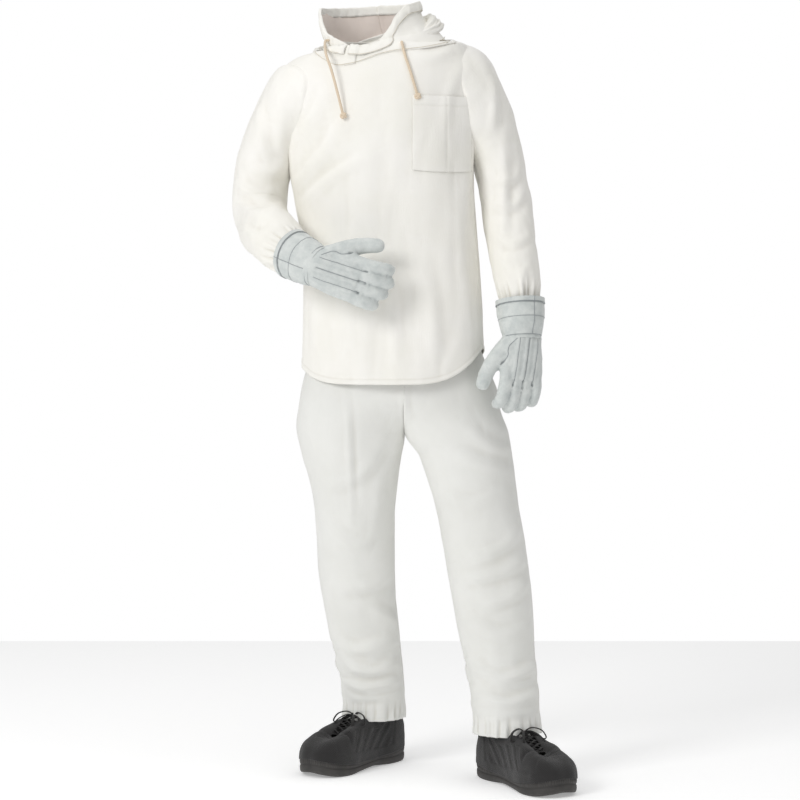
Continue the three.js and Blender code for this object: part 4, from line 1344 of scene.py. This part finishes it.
def shoe_frame(side):
    (x, y, z), heading = SHOES[side]
    angle = math.radians(180 - heading)

    def places(points):
        points = np.asarray(points, float)
        ahead = points[..., 1] - ANKLE_Y
        return np.stack(
            [
                x + math.cos(angle) * points[..., 0] - math.sin(angle) * ahead,
                y + math.sin(angle) * points[..., 0] + math.cos(angle) * ahead,
                z + points[..., 2],
            ],
            axis=-1,
        )

    return places


def attribute(obj, name, values):
    layer = obj.data.attributes.new(name, "FLOAT", "POINT")
    layer.data.foreach_set("value", values)


def make_shoe(side):
    places = shoe_frame(side)
    body = f"shoe_{side}"
    edge = both_sides([(x * SHOE_BALL, y * SHOE_LENGTH, low, high) for x, y, low, high in SOLE])
    rim = both_sides(MOUTH)
    ahead = np.roll(edge, -1, axis=0) - np.roll(edge, 1, axis=0)
    outward = np.stack([ahead[:, 1], -ahead[:, 0]], axis=1)
    outward /= np.linalg.norm(outward, axis=1)[:, None]
    # Sole unit: tread, side wall with a groove and ribs, and a lip that holds the upper.
    along = np.concatenate([[0], np.cumsum(np.linalg.norm(np.diff(edge[:, :2], axis=0), axis=1))])
    rows = []
    for share in (0.03, 0.3, 0.55, 0.75, 0.88):
        tread = 1.6 * (np.sin(edge[:, 1] * share * 2 * math.pi / 11) > 0.2)
        low = edge[:, 2] * share**2 + tread
        rows.append(np.column_stack([edge[:, :2] * share, low]))
    profile = (
        (0, -3.4, 0.0), (0.06, -1.2, 0), (0.16, -0.2, 0), (0.3, 0.2, 0), (0.42, 0.1, 0),
        (0.47, -1.0, 0), (0.52, -1.0, 0), (0.57, 0.0, 0), (0.7, 0.1, 1), (0.82, -0.3, 1),
        (0.92, -0.8, 1), (1, -1.8, 0), (1.02, -4, 0), (0.9, -7, 0),
    )
    ribs = 0.5 * np.sign(np.sin(along * 2 * math.pi / 5)) * (np.abs(edge[:, 1]) > 58)
    for share, move, ribbed in profile:
        height = edge[:, 2] + share * (edge[:, 3] - edge[:, 2])
        side_move = move + ribbed * ribs
        rows.append(np.column_stack([edge[:, :2] + outward * side_move[:, None], height]))
    sole = cloth_piece(f"{body}_sole_unit", places(np.array(rows))[:, ::-1], (RUBBER,), thick=0, body=body)
    close_ends(sole)
    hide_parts(f"{body}_outsole", f"{body}_midsole")
    # Upper, bulging from the lip to the mouth, with its overlays laid on.
    foot = np.column_stack([edge[:, :2] - outward * 3.2, edge[:, 3] - 6])
    top = rim[:, :3]
    bend = np.column_stack([edge[:, :2] - outward * 1.0, foot[:, 2] + rim[:, 3] * (top[:, 2] - foot[:, 2])])
    t = np.linspace(0, 1, 56)[:, None, None]
    upper = foot * (1 - t) ** 2 + bend * 2 * t * (1 - t) + top * t**2
    rise = np.broadcast_to(t[:, :, 0], upper.shape[:2])
    x, y = upper[:, :, 0], upper[:, :, 1]
    slant = (y + 60 * rise) % 27
    band = smoothstep(slant, 0, 1.5) * smoothstep(-slant, -12, -10.5)
    overlay = np.maximum.reduce(
        [
            smoothstep(y - 0.012 * x**2, 84, 86),
            smoothstep(rise, 0.7, 0.72) * smoothstep(y, -40, -37) * smoothstep(-y, -74, -70),
            smoothstep(-y - 14 * rise, 72, 74),
            smoothstep(-rise, -0.2, -0.17),
            band * smoothstep(y, -70, -66) * smoothstep(-y, -64, -60),
        ]
    )
    flex = 1.3 * np.exp(-(((y - 74 + 0.3 * np.abs(x)) / 4) ** 2)) + 1.1 * np.exp(-(((y - 62) / 3.5) ** 2))
    relief = 1.3 * overlay - flex * smoothstep(rise, 0.3, 0.6) + 0.7 * rumple(upper, (26, 26, 26), 151)
    outward_3d = normals(upper)
    outward_3d *= np.sign((outward_3d * (upper - (0, -10, 40))).sum(axis=2).mean())
    upper = upper + outward_3d * relief[:, :, None]
    finishes = (SHOE_LEATHER, SHOE_LINING)
    skin = cloth_piece(f"{body}_upper_skin", places(upper)[:, ::-1], finishes, thick=0, body=body)
    values = overlay[:, ::-1].ravel()
    attribute(skin, "overlay", values)
    select(skin)
    wall = skin.modifiers.new("thickness", "SOLIDIFY")
    wall.thickness = 0.0034
    wall.offset = -1
    wall.material_offset = 1
    bpy.ops.object.modifier_apply(modifier=wall.name)
    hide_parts(f"{body}_upper", f"{body}_toe_cap", f"{body}_heel_counter", f"{body}_insole")
    # Padded collar round the ankle.
    near = rim[(rim[:, 1] < 4)]
    order = np.argsort(np.arctan2(near[:, 0], near[:, 1] + 60))
    collar = near[order][:, :3]
    split = int(np.argmax(np.linalg.norm(np.diff(np.vstack([collar, collar[:1]]), axis=0), axis=1))) + 1
    collar = np.roll(collar, -split, axis=0)
    collar_line = places(smooth_curve(collar[::4] - (0, 0, 2.5), 120))
    tube_piece(f"{body}_collar_padding", collar_line, 4.2, SHOE_LINING, body)
    # Tongue under the laces.
    rows = []
    for y, z in smooth_curve(((70, 56), (50, 65), (24, 76), (0, 87), (-14, 98), (-20, 112), (-19, 122)), 40):
        x = np.linspace(-1, 1, 22)
        wide = 14 + 5 * smoothstep(-y, -30, 10)
        rows.append(np.column_stack([x * wide, y - 3 * x**2, z - 5.5 * x**2 + 0 * x]))
    tongue_rings = places(np.array(rows))[::-1]
    tongue = cloth_piece(f"{body}_tongue_pad", tongue_rings, finishes, closed=False, thick=4.5, body=body)
    attribute(tongue, "overlay", np.zeros(len(tongue.data.vertices)))
    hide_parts(f"{body}_tongue")
    laces(side, places)


def close_ends(obj):
    select(obj)
    bpy.ops.object.mode_set(mode="EDIT")
    bpy.ops.mesh.select_all(action="SELECT")
    bpy.ops.mesh.fill_holes(sides=0)
    bpy.ops.mesh.normals_make_consistent(inside=False)
    bpy.ops.object.mode_set(mode="OBJECT")


def laces(side, places):
    """Six crossings over the tongue, and a bow with two loops and two ends."""
    body = f"shoe_{side}"
    runs = []
    rows = [(54, 71), (43, 76.5), (32, 81.5), (21, 86.5), (10, 91.5), (-1, 97)]
    for (y, z), (y_next, z_next) in zip(rows, rows[1:]):
        for hand in (-1, 1):
            start = ((hand * 17, y, z - 3), (hand * 9, y - 2, z + 1))
            end = ((-hand * 9, y_next + 2, z_next + 1), (-hand * 17, y_next, z_next - 3))
            runs.append(start + end)
    y, z = rows[0]
    runs.append(((-17, y, z - 3), (-8, y + 1, z + 0.5), (8, y + 1, z + 0.5), (17, y, z - 3)))
    knot = (0, -3, 101)
    for hand in (-1, 1):
        runs.append(((hand * 17, -1, 93), (hand * 8, -3, 99), knot))
        out = (knot, (hand * 14, 2, 108), (hand * 32, 8, 103), (hand * 39, 14, 90))
        back = ((hand * 30, 14, 88), (hand * 13, 4, 99), knot)
        runs.append(out + back)
        runs.append((knot, (hand * 9, 10, 103), (hand * 19, 26, 95), (hand * 26, 38, 80), (hand * 29, 44, 68)))
    for number, run in enumerate(runs):
        route = places(smooth_curve(run, 50))
        piece = tube_piece(f"{body}_lace_run_{number}", route, 2.7, LACE, body, sides=10, flat=0.42)
        if number == 0:
            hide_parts(f"{body}_lace")
    ball = smooth_curve(((-5, -3, 101), (-2, -8, 104), (4, -5, 105), (5, 0, 101), (0, 3, 98), (-5, -1, 100)), 40)
    tube_piece(f"{body}_lace_knot", places(ball), 3.0, LACE, body, sides=10, flat=0.6)
    for y, z in rows:
        for hand in (-1, 1):
            turn = np.linspace(0, 2 * math.pi, 25)
            height = z - 2.4 - 0.35 * np.sin(turn) - hand * 0.5 * np.cos(turn) * 2.6 * 0.6
            ring = np.column_stack([hand * 18.5 + 2.6 * np.cos(turn), y + 2.6 * np.sin(turn), height])
            tube_piece(f"{body}_eyelet_{y}_{hand}", places(ring), 0.9, LACE, body, sides=8)


for side in ("right", "left"):
    make_shoe(side)

# ---------------------------------------------------------------- light and floor
def studio():
    world = bpy.data.worlds.new("white_studio")
    world.use_nodes = True
    tree = world.node_tree
    fill = tree.nodes["Background"]
    fill.inputs[0].default_value = (1, 1, 1, 1)
    fill.inputs[1].default_value = 0.5
    # The backdrop itself shows plain white; only the light it gives is dimmed.
    seen = tree.nodes.new("ShaderNodeBackground")
    seen.inputs[0].default_value = (1, 1, 1, 1)
    which = tree.nodes.new("ShaderNodeMixShader")
    tree.links.new(tree.nodes.new("ShaderNodeLightPath").outputs["Is Camera Ray"], which.inputs[0])
    tree.links.new(fill.outputs[0], which.inputs[1])
    tree.links.new(seen.outputs[0], which.inputs[2])
    tree.links.new(which.outputs[0], tree.nodes["World Output"].inputs[0])
    bpy.context.scene.world = world
    bpy.context.scene.view_settings.view_transform = "Standard"
    for name, place, size, power in (
        ("key_softbox", (-2.2, -2.6, 2.4), 1.3, 50),
        ("top_softbox", (0.3, -0.6, 3.4), 2.0, 14),
    ):
        data = bpy.data.lights.new(name, "AREA")
        data.size = size
        data.energy = power
        lamp = bpy.data.objects.new(name, data)
        bpy.context.collection.objects.link(lamp)
        lamp.location = place
        lamp.rotation_euler = (Vector((0, 0, 0.8)) - Vector(place)).to_track_quat("-Z", "Y").to_euler()
    mesh = bpy.data.meshes.new("studio_floor")
    mesh.from_pydata([(-2.2, -2.2, 0), (2.2, -2.2, 0), (2.2, 1.9, 0), (-2.2, 1.9, 0)], [], [(0, 1, 2, 3)])
    floor = bpy.data.objects.new("studio_floor", mesh)
    bpy.context.collection.objects.link(floor)
    paper = bpy.data.materials.new("white_paper")
    paper.use_nodes = True
    paper.node_tree.nodes["Principled BSDF"].inputs["Base Color"].default_value = (0.95, 0.95, 0.95, 1)
    paper.node_tree.nodes["Principled BSDF"].inputs["Roughness"].default_value = 0.9
    paper.node_tree.nodes["Principled BSDF"].inputs["Emission Color"].default_value = (1, 1, 1, 1)
    paper.node_tree.nodes["Principled BSDF"].inputs["Emission Strength"].default_value = 0.3
    floor.data.materials.append(paper)


studio()
